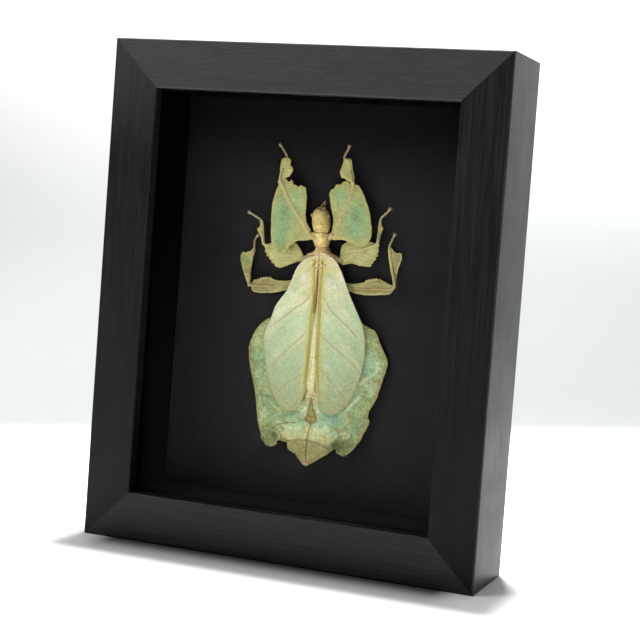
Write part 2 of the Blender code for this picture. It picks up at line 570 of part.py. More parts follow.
LEGS = {
    "front_left": {
        "finish": "front_leg",
        "femur": [run((-12.5, 114.8), (-13.6, 113.7)),
                  run((-14.3, 112.9), (-15.6, 108.5), (-16.0, 104.0), (-15.8, 98.5), (-15.2, 94.2),
                      (-13.8, 92.0), (-12.0, 91.2), (-10.2, 92.2), (-8.8, 94.4), (-6.6, 95.8),
                      (-4.0, 96.2)),
                  run((-1.85, 96.6), (-2.4, 98.4)),
                  run((-2.6, 99.5), (-4.3, 102.0), (-4.7, 105.5), (-4.8, 110.0), (-5.3, 112.3)),
                  run((-6.0, 112.6), (-8.0, 112.5), (-9.8, 113.4), teeth=2, tooth=0.5),
                  run((-10.2, 114.6), (-10.9, 113.9))],
        "femur_shaft": [(-2.8, 98.3), (-6.0, 102.0), (-10.2, 107.5), (-13.4, 113.6)],
        "femur_top": flat(4.1),
        "tibia": [run((-14.4, 113.6), (-13.7, 114.2)),
                  run((-12.7, 114.9), (-11.7, 116.0), (-10.7, 117.4), (-11.3, 118.9), (-12.3, 120.6)),
                  run((-12.4, 121.1), (-13.8, 121.3)),
                  run((-14.7, 120.7), (-14.8, 118.0), (-14.6, 115.5))],
        "tibia_shaft": [(-13.9, 114.6), (-13.3, 118.0), (-13.1, 120.7)],
        "tibia_top": sloping(3.7, 114.0, -0.22),
        "tarsus": [(-13.2, 121.6, 1.65), (-13.7, 122.6, 1.25), (-14.6, 123.7, 1.0),
                   (-15.6, 124.6, 0.95), (-16.5, 125.3, 0.95)],
    },
    "front_right": {
        "finish": "front_leg",
        "femur": [run((4.4, 99.7), (4.3, 98.4)),
                  run((4.3, 97.2), (5.6, 97.0), (8.3, 97.2), (11.7, 96.3), (13.5, 95.8),
                      (15.9, 96.5), (17.2, 98.7), (17.1, 102.0), (15.9, 107.0), (13.9, 111.4)),
                  run((12.3, 113.9), (11.2, 114.2)),
                  run((10.2, 113.8), (9.0, 114.6)),
                  run((8.0, 115.2), (6.8, 114.4), (4.9, 113.4), (3.5, 111.9), teeth=3, tooth=0.5),
                  run((2.7, 111.0), (3.6, 106.6), (4.7, 103.2))],
        "femur_shaft": [(4.7, 98.6), (6.8, 102.5), (8.9, 107.5), (9.7, 113.2)],
        "femur_top": flat(4.1),
        "tibia": [run((10.4, 114.5), (10.3, 116.6), (9.4, 119.3), (8.3, 121.7)),
                  run((7.6, 122.0), (6.4, 122.3)),
                  run((5.9, 121.9), (5.6, 119.6), (5.2, 117.9)),
                  run((5.2, 117.4), (6.6, 116.3), (8.3, 115.6)),
                  run((9.2, 114.9), (9.8, 114.4))],
        "tibia_shaft": [(9.8, 114.9), (8.7, 118.5), (6.7, 121.7)],
        "tibia_top": sloping(3.7, 114.5, -0.22),
        "tarsus": [(6.1, 122.6, 1.65), (6.2, 123.4, 1.25), (6.6, 124.4, 1.0), (7.0, 125.3, 0.95),
                   (7.25, 126.1, 0.95)],
    },
    "middle_left": {
        "finish": "middle_leg",
        "femur": [run((-18.1, 94.0), (-18.4, 93.4)),
                  run((-17.9, 92.4), (-16.5, 90.1), (-15.0, 88.5), teeth=5, tooth=0.35),
                  run((-13.7, 87.2), (-12.4, 87.0), (-10.3, 87.9), (-7.2, 89.2)),
                  run((-4.5, 89.8), (-4.5, 90.8)),
                  run((-5.1, 91.3), (-6.4, 93.6), (-7.9, 95.1), (-11.0, 95.6), (-14.0, 95.0))],
        "femur_shaft": [(-5.1, 90.4), (-9.0, 91.6), (-13.5, 92.6), (-17.7, 93.6)],
        "femur_top": flat(2.45),
        "tibia": [run((-18.6, 94.3), (-18.1, 95.2), (-18.6, 97.6), (-19.3, 99.6)),
                  run((-19.7, 101.2), (-20.6, 101.4)),
                  run((-20.9, 101.0), (-21.0, 99.8)),
                  run((-21.8, 98.5), (-20.9, 97.4), (-20.2, 95.8), (-19.5, 94.4))],
        "tibia_shaft": [(-19.0, 95.0), (-19.6, 98.0), (-20.2, 100.7)],
        "tibia_top": sloping(2.4, 95.0, -0.12),
        "tarsus": [(-20.4, 101.8, 1.2), (-21.6, 102.4, 1.1), (-23.3, 103.0, 1.0),
                   (-24.8, 103.6, 0.95)],
    },
    "middle_right": {
        "finish": "middle_leg",
        "femur": [run((18.4, 97.0), (14.0, 97.5), (10.0, 97.1)),
                  run((7.4, 95.6), (7.1, 93.0)),
                  run((7.2, 90.8), (7.4, 89.9)),
                  run((8.4, 89.6), (11.0, 90.2), (14.0, 89.7)),
                  run((16.6, 89.7), (18.0, 91.4), (18.9, 93.1), (19.2, 94.6), teeth=5, tooth=0.35),
                  run((19.3, 95.2), (19.1, 96.4))],
        "femur_shaft": [(7.7, 90.5), (11.0, 92.8), (14.6, 94.9), (18.4, 96.3)],
        "femur_top": flat(2.45),
        "tibia": [run((19.6, 96.8), (19.5, 98.6), (19.6, 100.4)),
                  run((20.0, 101.5), (19.5, 102.8), (19.3, 104.3)),
                  run((18.4, 104.4), (18.2, 102.5), (18.3, 99.8)),
                  run((18.5, 97.4), (19.0, 97.0))],
        "tibia_shaft": [(19.0, 97.6), (18.9, 100.7), (18.8, 103.8)],
        "tibia_top": sloping(2.4, 97.5, -0.12),
        "tarsus": [(18.9, 104.8, 1.2), (19.8, 105.7, 1.1), (20.7, 106.7, 1.0), (21.4, 107.5, 0.95)],
    },
    "hind_left": {
        "finish": "hind_leg",
        "femur": [run((-21.9, 80.5), (-21.3, 79.1), (-19.2, 78.6), (-15.5, 78.9), (-10.9, 79.9),
                      (-7.5, 81.5), (-4.6, 83.5)),
                  run((-2.9, 84.6), (-2.9, 85.6)),
                  run((-3.2, 86.4), (-6.0, 84.6), (-9.6, 83.2), (-13.4, 83.0)),
                  run((-15.2, 83.5), (-17.5, 83.4), (-19.5, 82.7), teeth=4, tooth=0.3),
                  run((-21.3, 82.0), (-21.8, 81.4))],
        "femur_shaft": [(-3.4, 85.4), (-8.0, 82.9), (-14.0, 81.4), (-21.3, 80.9)],
        "femur_top": flat(2.3),
        "tibia": [run((-22.3, 82.0), (-22.5, 85.5), (-22.2, 89.0)),
                  run((-21.8, 92.1), (-22.7, 92.2)),
                  run((-23.0, 91.2), (-24.4, 90.8)),
                  run((-26.4, 90.5), (-26.5, 88.3), (-25.6, 85.2), (-24.0, 82.2)),
                  run((-23.2, 81.0), (-22.3, 81.0))],
        "tibia_shaft": [(-22.8, 81.7), (-23.1, 85.5), (-22.7, 89.0), (-22.3, 91.6)],
        "tibia_top": sloping(2.3, 82.0, -0.07),
        "tarsus": [(-22.2, 92.6, 1.15), (-22.2, 93.7, 1.05), (-21.9, 94.9, 1.0), (-21.5, 95.9, 0.95)],
    },
    "hind_right": {
        "finish": "hind_leg",
        "femur": [run((25.0, 84.3), (22.8, 85.2)),
                  run((20.9, 86.0), (19.0, 86.0), (17.2, 85.7), teeth=3, tooth=0.3),
                  run((15.8, 84.9), (12.5, 84.1), (9.6, 84.2), (7.2, 85.4)),
                  run((5.7, 86.2), (5.6, 85.3)),
                  run((5.6, 84.4), (8.0, 82.8), (11.2, 81.6), (15.0, 81.0), (20.0, 81.3),
                      (23.6, 81.9), (25.1, 83.2))],
        "femur_shaft": [(6.1, 85.3), (10.5, 83.2), (16.0, 82.8), (24.5, 83.6)],
        "femur_top": flat(2.3),
        "tibia": [run((25.7, 84.7), (26.0, 88.0), (27.0, 92.0)),
                  run((26.4, 94.4), (24.8, 94.6), (23.5, 95.6)),
                  run((22.9, 96.1), (22.2, 95.8)),
                  run((22.1, 95.0), (23.2, 90.5), (24.7, 85.6)),
                  run((25.0, 84.7), (25.4, 84.6))],
        "tibia_shaft": [(25.3, 85.3), (24.2, 90.0), (22.8, 95.5)],
        "tibia_top": sloping(2.3, 85.0, -0.07),
        "tarsus": [(22.6, 96.6, 1.15), (22.8, 97.5, 1.05), (23.4, 98.7, 1.0), (23.9, 99.9, 0.95)],
    },
}
SHAFT_HALF = 0.9
SHAFT_RISE = 0.4
TIBIA_SHAFT_HALF = 0.6
TIBIA_SHAFT_RISE = 0.3
CLAW_LENGTH = 1.0
CLAW_SPREAD = 0.62
CLAW_RADII = (0.26, 0.22, 0.16, 0.08)
CLAW_SINK = 0.35
CLAW_SIDES = 6
CLAW_STEP = 0.35
FOOT_LOW = 0.3


def make_tarsus(name, points):
    """A foot of five joints that ends in two claws, fused into one closed body."""
    tube(name, points, TARSUS_RADII, ROUND_SIDES, TARSUS_STEP, "tarsus")
    end = np.array(points[-1])
    ahead = end - np.array(points[-2])
    ahead[2] = 0.0
    ahead /= np.linalg.norm(ahead)
    claws = []
    for side in (-1, 1):
        turn = side * CLAW_SPREAD
        aim = np.array((ahead[0] * math.cos(turn) - ahead[1] * math.sin(turn),
                        ahead[0] * math.sin(turn) + ahead[1] * math.cos(turn), 0.0))
        root = end - ahead * CLAW_SINK
        bend = end + aim * CLAW_LENGTH * 0.5
        tip = end + aim * CLAW_LENGTH
        tip[2] = FOOT_LOW + CLAW_RADII[-1]
        claws.append(tube(name + "_claw", [root, bend, tip], CLAW_RADII, CLAW_SIDES, CLAW_STEP,
                          "tarsus"))
    fuse(bpy.data.objects[name], claws)


def fuse(body, pieces):
    """Joins the pieces to the body, keeps the largest closed surface, removes the pieces."""
    group = bpy.data.collections.new(body.name + "_pieces")
    for piece in pieces:
        group.objects.link(piece)
    joined = body.modifiers.new("fuse", "BOOLEAN")
    joined.operation = "UNION"
    joined.operand_type = "COLLECTION"
    joined.collection = group
    joined.solver = "EXACT"
    seen = bpy.context.evaluated_depsgraph_get()
    mesh = bpy.data.meshes.new_from_object(body.evaluated_get(seen))
    body.modifiers.clear()
    body.data = mesh
    for piece in pieces:
        bpy.data.objects.remove(piece, do_unlink=True)
    bpy.data.collections.remove(group)
    keep_largest(mesh)


def keep_largest(mesh):
    """Drops every loose scrap but the surface with the most faces."""
    work = bmesh.new()
    work.from_mesh(mesh)
    work.verts.ensure_lookup_table()
    unseen = set(range(len(work.verts)))
    groups = []
    while unseen:
        stack = [unseen.pop()]
        found = set(stack)
        while stack:
            for edge in work.verts[stack.pop()].link_edges:
                for vert in edge.verts:
                    if vert.index in unseen:
                        unseen.remove(vert.index)
                        found.add(vert.index)
                        stack.append(vert.index)
        groups.append(found)
    groups.sort(key=len)
    scraps = [work.verts[i] for found in groups[:-1] for i in found]
    bmesh.ops.delete(work, geom=scraps, context="VERTS")
    work.to_mesh(mesh)
    work.free()


def make_legs(chance):
    for name, leg in LEGS.items():
        shaft = vein(leg["femur_shaft"], SHAFT_HALF, SHAFT_RISE)
        plate("femur_" + name, outline(leg["femur"], LEG_STEP, chance), [shaft], leg["femur_top"],
              flat(LEG_THICK), LEG_FILL_STEP, leg["finish"])
        shaft = vein(leg["tibia_shaft"], TIBIA_SHAFT_HALF, TIBIA_SHAFT_RISE)
        plate("tibia_" + name, outline(leg["tibia"], LEG_STEP, chance), [shaft], leg["tibia_top"],
              flat(LEG_THICK), LEG_FILL_STEP, leg["finish"])
        make_tarsus("tarsus_" + name, leg["tarsus"])


def build():
    clear_scene()
    chance = np.random.default_rng(SEED)
    make_case()
    make_head()
    make_thorax()
    make_wings(chance)
    make_abdomen(chance)
    make_legs(chance)


build()
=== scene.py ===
# Looks of a leaf insect in a glazed shadow box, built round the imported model.
# Sizes are millimetres and angles degrees: x right, y back, z up, and the floor is z = 0.
# A piece of the insect is given by x, z and its height in front of the backing board.

import math

import bmesh
import bpy
import numpy as np
from mathutils import Matrix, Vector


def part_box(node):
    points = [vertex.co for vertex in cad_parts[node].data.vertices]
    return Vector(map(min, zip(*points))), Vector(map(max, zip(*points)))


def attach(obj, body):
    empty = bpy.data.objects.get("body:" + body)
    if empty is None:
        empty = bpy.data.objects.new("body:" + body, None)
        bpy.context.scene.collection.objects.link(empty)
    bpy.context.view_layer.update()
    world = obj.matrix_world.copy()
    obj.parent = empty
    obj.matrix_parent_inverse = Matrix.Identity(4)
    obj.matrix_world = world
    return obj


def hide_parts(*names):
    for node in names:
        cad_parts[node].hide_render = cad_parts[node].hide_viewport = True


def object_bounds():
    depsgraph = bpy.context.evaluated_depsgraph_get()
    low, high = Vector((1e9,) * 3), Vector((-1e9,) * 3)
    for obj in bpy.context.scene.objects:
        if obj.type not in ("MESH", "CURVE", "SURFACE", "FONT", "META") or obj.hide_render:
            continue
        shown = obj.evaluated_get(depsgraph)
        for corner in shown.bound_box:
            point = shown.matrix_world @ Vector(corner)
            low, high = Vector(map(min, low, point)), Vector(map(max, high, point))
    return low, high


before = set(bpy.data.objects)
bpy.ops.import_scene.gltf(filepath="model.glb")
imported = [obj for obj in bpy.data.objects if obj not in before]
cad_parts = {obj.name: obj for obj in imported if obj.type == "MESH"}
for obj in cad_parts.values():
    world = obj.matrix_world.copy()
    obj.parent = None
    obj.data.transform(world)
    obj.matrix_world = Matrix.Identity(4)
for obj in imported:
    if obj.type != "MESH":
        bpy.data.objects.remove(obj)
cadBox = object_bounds()

mm = 0.001
caseWidth = (cadBox[1].x - cadBox[0].x) / mm
caseHeight = (cadBox[1].z - cadBox[0].z) / mm
frontFace = cadBox[0].y / mm
backFace = cadBox[1].y / mm
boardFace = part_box("backing_board")[0].y / mm
midLine = 1.35  # the body's own middle, a little right of the case's


# Shader trees


class Wire:
    # One value in a shader tree; + - * / ** between wires and numbers add Math nodes
    def __init__(self, paint, socket):
        self.paint = paint
        self.socket = socket

    def math(self, operation, first, second):
        return self.paint.node("ShaderNodeMath", {"operation": operation}, {0: first, 1: second})

    def __add__(self, other):
        return self.math("ADD", self, other)

    def __radd__(self, other):
        return self.math("ADD", other, self)

    def __sub__(self, other):
        return self.math("SUBTRACT", self, other)

    def __rsub__(self, other):
        return self.math("SUBTRACT", other, self)

    def __mul__(self, other):
        return self.math("MULTIPLY", self, other)

    def __rmul__(self, other):
        return self.math("MULTIPLY", other, self)

    def __truediv__(self, other):
        return self.math("DIVIDE", self, other)

    def __pow__(self, other):
        return self.math("POWER", self, other)

    def least(self, other):
        return self.math("MINIMUM", self, other)

    def most(self, other):
        return self.math("MAXIMUM", self, other)

    def size(self):
        return self.math("ABSOLUTE", self, 0.0)

    def rise(self, low, high):
        # 0 below low and 1 above high, with a soft S between; low may be the larger
        return self.paint.node("ShaderNodeMapRange", {"interpolation_type": "SMOOTHSTEP"},
                               {"Value": self, "From Min": low, "From Max": high})


class Paint:
    # A material's shader tree, whose patterns read the piece's own coordinates
    def __init__(self, name):
        self.material = bpy.data.materials.new(name)
        self.material.use_nodes = True
        self.tree = self.material.node_tree
        self.tree.nodes.clear()
        self.place = self.node("ShaderNodeTexCoord", {}, {}, "Object")

    def node(self, kind, settings, sockets, output=0):
        made = self.tree.nodes.new(kind)
        for setting, value in settings.items():
            setattr(made, setting, value)
        for key, value in sockets.items():
            if isinstance(value, Wire):
                self.tree.links.new(value.socket, made.inputs[key])
            else:
                made.inputs[key].default_value = value
        return Wire(self, made.outputs[output]) if made.outputs else None

    def mark(self, name):
        return self.node("ShaderNodeAttribute", {"attribute_name": name}, {}, "Fac")

    def axis(self, letter):
        # One coordinate of the piece, in millimetres
        return self.node("ShaderNodeSeparateXYZ", {}, {0: self.place}, letter) / mm

    def stretched(self, stretch):
        return self.node("ShaderNodeVectorMath", {"operation": "DIVIDE"},
                         {0: self.place, 1: tuple(mm * s for s in stretch)})

    def clouds(self, size, detail=3.0, rough=0.55, stretch=(1.0, 1.0, 1.0), twist=0.0):
        # Random hills about size across, from 0 to 1
        return self.node("ShaderNodeTexNoise", {},
                         {"Vector": self.stretched(stretch), "Scale": 1.0 / size, "Detail": detail,
                          "Roughness": rough, "Distortion": twist})

    def cells(self, size, feature="DISTANCE_TO_EDGE", stretch=(1.0, 1.0, 1.0)):
        return self.node("ShaderNodeTexVoronoi", {"feature": feature},
                         {"Vector": self.stretched(stretch), "Scale": 1.0 / size})

    def mix(self, share, first, second):
        # Colour first where share is 0 and colour second where it is 1
        four = [c if isinstance(c, Wire) else (*c, 1.0) for c in (first, second)]
        return self.node("ShaderNodeMix", {"data_type": "RGBA"},
                         {0: share, 6: four[0], 7: four[1]}, 2)

    def layered(self, colour, layers):
        # Each layer is a share and a colour, mixed over all before it
        for share, shade in layers:
            colour = self.mix(share, colour, shade)
        return colour

    def scaled(self, colour, share):
        return self.node("ShaderNodeVectorMath", {"operation": "SCALE"},
                         {0: colour, "Scale": share})

    def grained(self, colour, size, strength):
        # Darker and lighter grains about size across
        return self.scaled(colour, 1 + (self.clouds(size, 2.0, 0.7) - 0.5) * strength)

    def bump(self, height, depth, under=None):
        # height is 0 to 1 and depth its reach in millimetres
        sockets = {"Height": height, "Strength": 1.0, "Distance": depth * mm}
        if under is not None:
            sockets["Normal"] = under
        return self.node("ShaderNodeBump", {}, sockets)

    def finish(self, colour, rough, normal=None, **steady):
        sockets = {"Base Color": colour, "Roughness": rough}
        if normal is not None:
            sockets["Normal"] = normal
        sockets.update({name.replace("_", " "): value for name, value in steady.items()})
        return self.shine(self.node("ShaderNodeBsdfPrincipled", {}, sockets))

    def shine(self, shader):
        self.node("ShaderNodeOutputMaterial", {"target": "ALL"}, {0: shader})
        return self.material


# Curves, outlines and grids


def curveThrough(points, fineness=24):
    # Catmull-Rom: between two points a cubic, whose slope at each is the chord of its neighbours
    p = np.array(points, float)
    ends = np.vstack([2 * p[0] - p[1], p, 2 * p[-1] - p[-2]])
    a, b, c, d = ends[:-3], ends[1:-2], ends[2:-1], ends[3:]
    t = np.linspace(0, 1, fineness, endpoint=False)[:, None, None]
    curve = (b + (c - a) * t / 2 + (2 * a - 5 * b + 4 * c - d) * t ** 2 / 2
             + (3 * b - a - 3 * c + d) * t ** 3 / 2)
    return np.vstack([curve.transpose(1, 0, 2).reshape(-1, p.shape[1]), p[-1:]])


def lengthsAlong(curve):
    return np.r_[0, np.cumsum(np.linalg.norm(np.diff(curve, axis=0), axis=1))]


def evenly(curve, count):
    # The same curve at count places, evenly spaced by length
    along = lengthsAlong(curve)
    at = np.linspace(0, along[-1], count)
    return np.stack([np.interp(at, along, curve[:, k]) for k in range(curve.shape[1])], axis=1)


def outwardFrom(curve):
    # Unit steps square to the curve, to the right of its run
    slope = np.gradient(curve, axis=0)
    outward = np.stack([slope[:, 1], -slope[:, 0]], axis=1)
    return outward / (np.linalg.norm(outward, axis=1)[:, None] + 1e-9)


def unit(steps):
    return steps / np.linalg.norm(steps, axis=-1, keepdims=True)


def toothed(curve, teeth, reach, chance):
    # Triangles stand out square to the curve, one to each equal length, each with its own reach
    along = lengthsAlong(curve)
    phase = along / along[-1] * teeth
    which = np.minimum(phase.astype(int), teeth - 1)
    shape = (1 - np.abs(2 * (phase - which) - 1)) ** 1.3
    reaches = reach * chance.uniform(0.5, 1.2, teeth)[which]
    return curve + outwardFrom(curve) * (shape * reaches)[:, None]


def swaying(curve, reach, size, chance):
    # The curve sways square to itself between random reaches set about size apart
    along = lengthsAlong(curve)
    knots = chance.uniform(-1, 1, int(along[-1] / size) + 3)
    knots[[0, -1]] = 0
    sway = np.interp(along / along[-1] * (len(knots) - 1), np.arange(len(knots)), knots)
    return curve + outwardFrom(curve) * (sway * reach)[:, None]


def outline(stretches, chance, spacing=0.12, reach=0.4, sway=0.07):
    # Stretches run counter-clockwise from the front, each on to the first point of the next; teeth
    # are counted for each. A slow sway and a quick one keep the rim from looking drawn.
    parts = []
    for index, (points, teeth) in enumerate(stretches):
        following = stretches[(index + 1) % len(stretches)][0][0]
        curve = curveThrough(points + [following])
        curve = evenly(curve, max(3, int(lengthsAlong(curve)[-1] / spacing)))
        if teeth > 0:
            curve = toothed(curve, teeth, reach, chance)
        curve = swaying(curve, sway, 0.9, chance)
        parts.append(swaying(curve, 0.6 * sway, 0.35, chance)[:-1])
    return np.vstack(parts)


def leafGrid(loop, corners, columns, rows):
    # Coons patch: the blend of left and right sides plus the blend of top and bottom, less that of
    # the four corners, which are given as top left, bottom left, bottom right and top right
    starts = [int(np.argmin(np.linalg.norm(loop - corner, axis=1))) for corner in np.array(corners)]
    loop = np.roll(loop, -starts[0], axis=0)
    starts = [(start - starts[0]) % len(loop) for start in starts] + [len(loop)]
    loop = np.vstack([loop, loop[:1]])
    left, bottom, right, top = [loop[a:b + 1] for a, b in zip(starts[:-1], starts[1:])]
    left, right = evenly(left, rows), evenly(right[::-1], rows)
    top, bottom = evenly(top[::-1], columns), evenly(bottom, columns)
    u = np.linspace(0, 1, columns)[None, :, None]
    v = np.linspace(0, 1, rows)[:, None, None]
    grid = ((1 - u) * left[:, None] + u * right[:, None] + (1 - v) * top[None] + v * bottom[None]
            - (1 - u) * (1 - v) * top[0] - u * (1 - v) * top[-1]
            - (1 - u) * v * bottom[0] - u * v * bottom[-1])
    return grid[..., 0], grid[..., 1]


def distanceTo(x, z, line):
    # The distance from every grid point to the nearest place on a line of points
    nearest = np.full(x.shape, np.inf)
    for (ax, az), (bx, bz) in zip(line[:-1], line[1:]):
        sx, sz = bx - ax, bz - az
        t = np.clip(((x - ax) * sx + (z - az) * sz) / (sx * sx + sz * sz + 1e-12), 0, 1)
        nearest = np.minimum(nearest, (x - ax - t * sx) ** 2 + (z - az - t * sz) ** 2)
    return np.sqrt(nearest)


def nearLine(x, z, points, fineness=8):
    return distanceTo(x, z, curveThrough(points, fineness))


def rimDistance(x, z, loop):
    return distanceTo(x, z, evenly(np.vstack([loop, loop[:1]]), 420))


def hills(x, z, size, seed):
    # Smooth random hills about size across, from -1 to 1: heights on a lattice, blended between
    cells = 97  # the lattice repeats beyond them
    lattice = np.random.default_rng(seed).uniform(-1, 1, (cells, cells))
    gx, gz = x / size + 31.7, z / size + 11.3
    ix, iz = np.floor(gx).astype(int), np.floor(gz).astype(int)
    fx, fz = gx - ix, gz - iz
    fx, fz = fx * fx * (3 - 2 * fx), fz * fz * (3 - 2 * fz)

    def row(at):
        return (lattice[ix % cells, at % cells] * (1 - fx)
                + lattice[(ix + 1) % cells, at % cells] * fx)
    return row(iz) * (1 - fz) + row(iz + 1) * fz


def drawnHills(x, z, degrees, across, along, seed):
    # Hills drawn out in one direction, as creases in dry skin are
    turn = math.radians(degrees)
    u = x * math.cos(turn) + z * math.sin(turn)
    v = z * math.cos(turn) - x * math.sin(turn)
    return hills(u / along, v / across, 1.0, seed)


def bell(distance, half):
    # 1 on the line, 0 beyond half its width, rounded like a cosine hill between
    return np.cos(np.clip(distance / half, 0, 1) * math.pi / 2) ** 2


def soft(distance, half):
    # 1 on the line and exp(-1) at half its width, without an end
    return np.exp(-(distance / half) ** 2)


def ramp(value, low, high):
    # 0 up to low and 1 from high on, straight between; low may be the larger
    return np.clip((value - low) / (high - low), 0, 1)


def strokes(x, z, points, half):
    return soft(nearLine(x, z, points), half)


def sideAt(z, line):
    # The x of a line of points at every height z; beyond its ends it keeps their x
    points = np.array(sorted(line, key=lambda point: point[1]))
    return np.interp(z, points[:, 1], points[:, 0])


def glow(x, z, spots):
    # The sum of soft round spots, each given by x, z, its radius and its strength
    return sum(strength * np.exp(-((x - sx) ** 2 + (z - sz) ** 2) / radius ** 2)
               for sx, sz, radius, strength in spots)


# Solids: points, faces and marks, which become attributes that the materials read


def overBoard(x, z, height):
    return np.stack([x, boardFace - height, z], axis=-1)


def gridQuads(index):
    return np.stack([index[:-1, :-1], index[1:, :-1], index[1:, 1:], index[:-1, 1:]],
                    axis=-1).reshape(-1, 4)


def ringQuads(rings):
    # The numbers of the points in their rings, and the faces from each ring to the next
    index = np.arange(rings[..., 0].size).reshape(rings.shape[:2])
    return index, gridQuads(np.hstack([index, index[:, :1]])).tolist()


def thinRim(rim, share):
    # A leaf's thickness: this share of it at the rim, and all from half a millimetre in
    return share + (1 - share) * ramp(rim, 0, 0.5)


def leafSolid(x, z, height, thick, marks):
    # The front face is the grid at its height and the back face the same grid behind it by the
    # thickness; a band of faces joins them round the rim
    points = np.vstack([overBoard(x, z, height).reshape(-1, 3),
                        overBoard(x, z, height - thick).reshape(-1, 3)])
    index = np.arange(x.size).reshape(x.shape)
    front = gridQuads(index)
    rim = np.concatenate([index[:, 0], index[-1, 1:], index[-2::-1, -1], index[0, -2:0:-1]])
    after = np.roll(rim, -1)
    band = np.stack([after, rim, rim + x.size, after + x.size], axis=-1)
    faces = np.vstack([front, front[:, ::-1] + x.size, band]).tolist()
    return points, faces, {name: np.tile(mark.ravel(), 2) for name, mark in marks.items()}


def loftSolid(rings, marks):
    # Faces join each ring of points to the next, and a fan to a centre point closes each end.
    # A mark has one value for each point or for each ring
    count, sides = rings.shape[:2]
    points = np.vstack([rings.reshape(-1, 3), rings[0].mean(axis=0), rings[-1].mean(axis=0)])
    index, quads = ringQuads(rings)
    fans = []
    for centre, ring in ((count * sides, index[0]), (count * sides + 1, index[-1][::-1])):
        fans.append(np.stack([np.full(sides, centre), ring, np.roll(ring, -1)], axis=-1))
    spread = {}
    for name, mark in marks.items():
        spread[name] = np.r_[np.broadcast_to(mark, (count, sides)).ravel(),
                             np.mean(mark[0]), np.mean(mark[-1])]
    return points, quads + np.vstack(fans).tolist(), spread


def tubeRings(path, radii, sides):
    # Circles square to a path of x, z and height
    centres = overBoard(path[:, 0], path[:, 1], path[:, 2])
    along = unit(np.gradient(centres, axis=0))
    side = unit(np.cross(along, (0.0, 1.0, 0.0)))
    other = np.cross(side, along)
    turn = (np.arange(sides) * 2 * math.pi / sides)[None, :, None]
    return (centres[:, None] + np.asarray(radii)[:, None, None]
            * (np.cos(turn) * side[:, None] + np.sin(turn) * other[:, None]))


def roundedEnds(path, radii):
    # Radii that close in along a quarter circle over the last radius at both ends
    along = lengthsAlong(path)
    left = np.minimum(along, along[-1] - along) / np.maximum(radii, 1e-6)
    return radii * np.sqrt(np.clip(1 - (1 - np.clip(left, 0, 1)) ** 2, 0.02, 1))


def joined(solids):
    points, faces, marks = [], [], {}
    names = sorted({name for solid in solids for name in solid[2]})
    start = 0
    for solidPoints, solidFaces, solidMarks in solids:
        points.append(solidPoints)
        faces += [[corner + start for corner in face] for face in solidFaces]
        for name in names:
            marks.setdefault(name, []).append(solidMarks.get(name, np.zeros(len(solidPoints))))
        start += len(solidPoints)
    return np.vstack(points), faces, {name: np.concatenate(mark) for name, mark in marks.items()}


def inScene(name, data):
    made = bpy.data.objects.new(name, data)
    bpy.context.scene.collection.objects.link(made)
    return made


def addPiece(name, solid, material, nodes=(), crease=50.0):
    points, faces, marks = solid
    mesh = bpy.data.meshes.new(name)
    mesh.from_pydata((points * mm).tolist(), [], faces)
    turned = bmesh.new()
    turned.from_mesh(mesh)
    bmesh.ops.recalc_face_normals(turned, faces=turned.faces)
    turned.to_mesh(mesh)
    turned.free()
    for mark, values in marks.items():
        stored = mesh.attributes.new(mark, "FLOAT", "POINT").data
        stored.foreach_set("value", values.astype(np.float32))
    mesh.shade_smooth()
    mesh.set_sharp_from_angle(angle=math.radians(crease))
    mesh.materials.append(material)
    piece = inScene(name, mesh)
    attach(piece, "root")
    if nodes:
        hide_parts(*nodes)


def refinish(node, material):
    # A node whose shape is right keeps its mesh and gets the finer material
    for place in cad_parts[node].material_slots:
        place.material = material


# Wooden frame: four mitred rails, stained black, whose grain runs along each rail

rails = {
    "face": 14.8,  # width seen from the front
    "wall": 9.0,  # width behind the lip, to the spacers
    "lip": 4.0,  # depth of the lip in front of the glass
    "arris": 0.55,  # radius of the front edges
    "backArris": 0.25,
    "mitre": 0.03,  # half the joint between two rails
    "pieces": 48,
    "dark": (0.0024, 0.0023, 0.0022),
    "light": (0.0120, 0.0116, 0.0110),
    "rough": (0.34, 0.50),
    "wearAndLitTop": (0.034, 0.0335, 0.0322),  # painted light: the upper part of the front is lighter, but not on the right rail
    "litTopFrom": (112.0, 152.0),
    "litTopFront": (-13.0, -14.6),
    "sheenAndWear": (0.088, 0.088, 0.085),  # the outer side of the right rail: painted sheen of the bright surroundings, over streaked wear
    "sheenAndWearFrom": (62.2, 62.95),
    "sheen": {"level": 0.3, "left": 0.15, "right": 0.12},
    "paintedLightShares": {"left": (0.3, 1.0), "right": (0.35, 1.5)},  # tone of the foot and of the head: painted shade below and painted light above
    "footFrom": (105.0, 25.0),
    "headFrom": (80.0, 140.0),
    "grain": {  # sizes across and along
        "streaks": (0.8, 26.0),
        "pores": (0.22, 5.0),
        "flecks": (0.5, 2.4),
    },
    "poreDepth": 0.08,
}


def railProfile():
    # Distance in from the outer side, and y, counter-clockwise, with quarter circles at the edges
    def corner(u, y, radius, first):
        turn = np.radians(np.linspace(first, first + 90, 7))
        return np.stack([u + radius * np.cos(turn), y + radius * np.sin(turn)], axis=1)
    front, back, lipBack = rails["arris"], rails["backArris"], frontFace + rails["lip"]
    return np.vstack([
        corner(front, frontFace + front, front, 180),
        corner(rails["face"] - front, frontFace + front, front, 270),
        [(rails["face"], lipBack), (rails["wall"], lipBack)],
        corner(rails["wall"] - back, backFace - back, back, 0),
        corner(back, backFace - back, back, 90)])


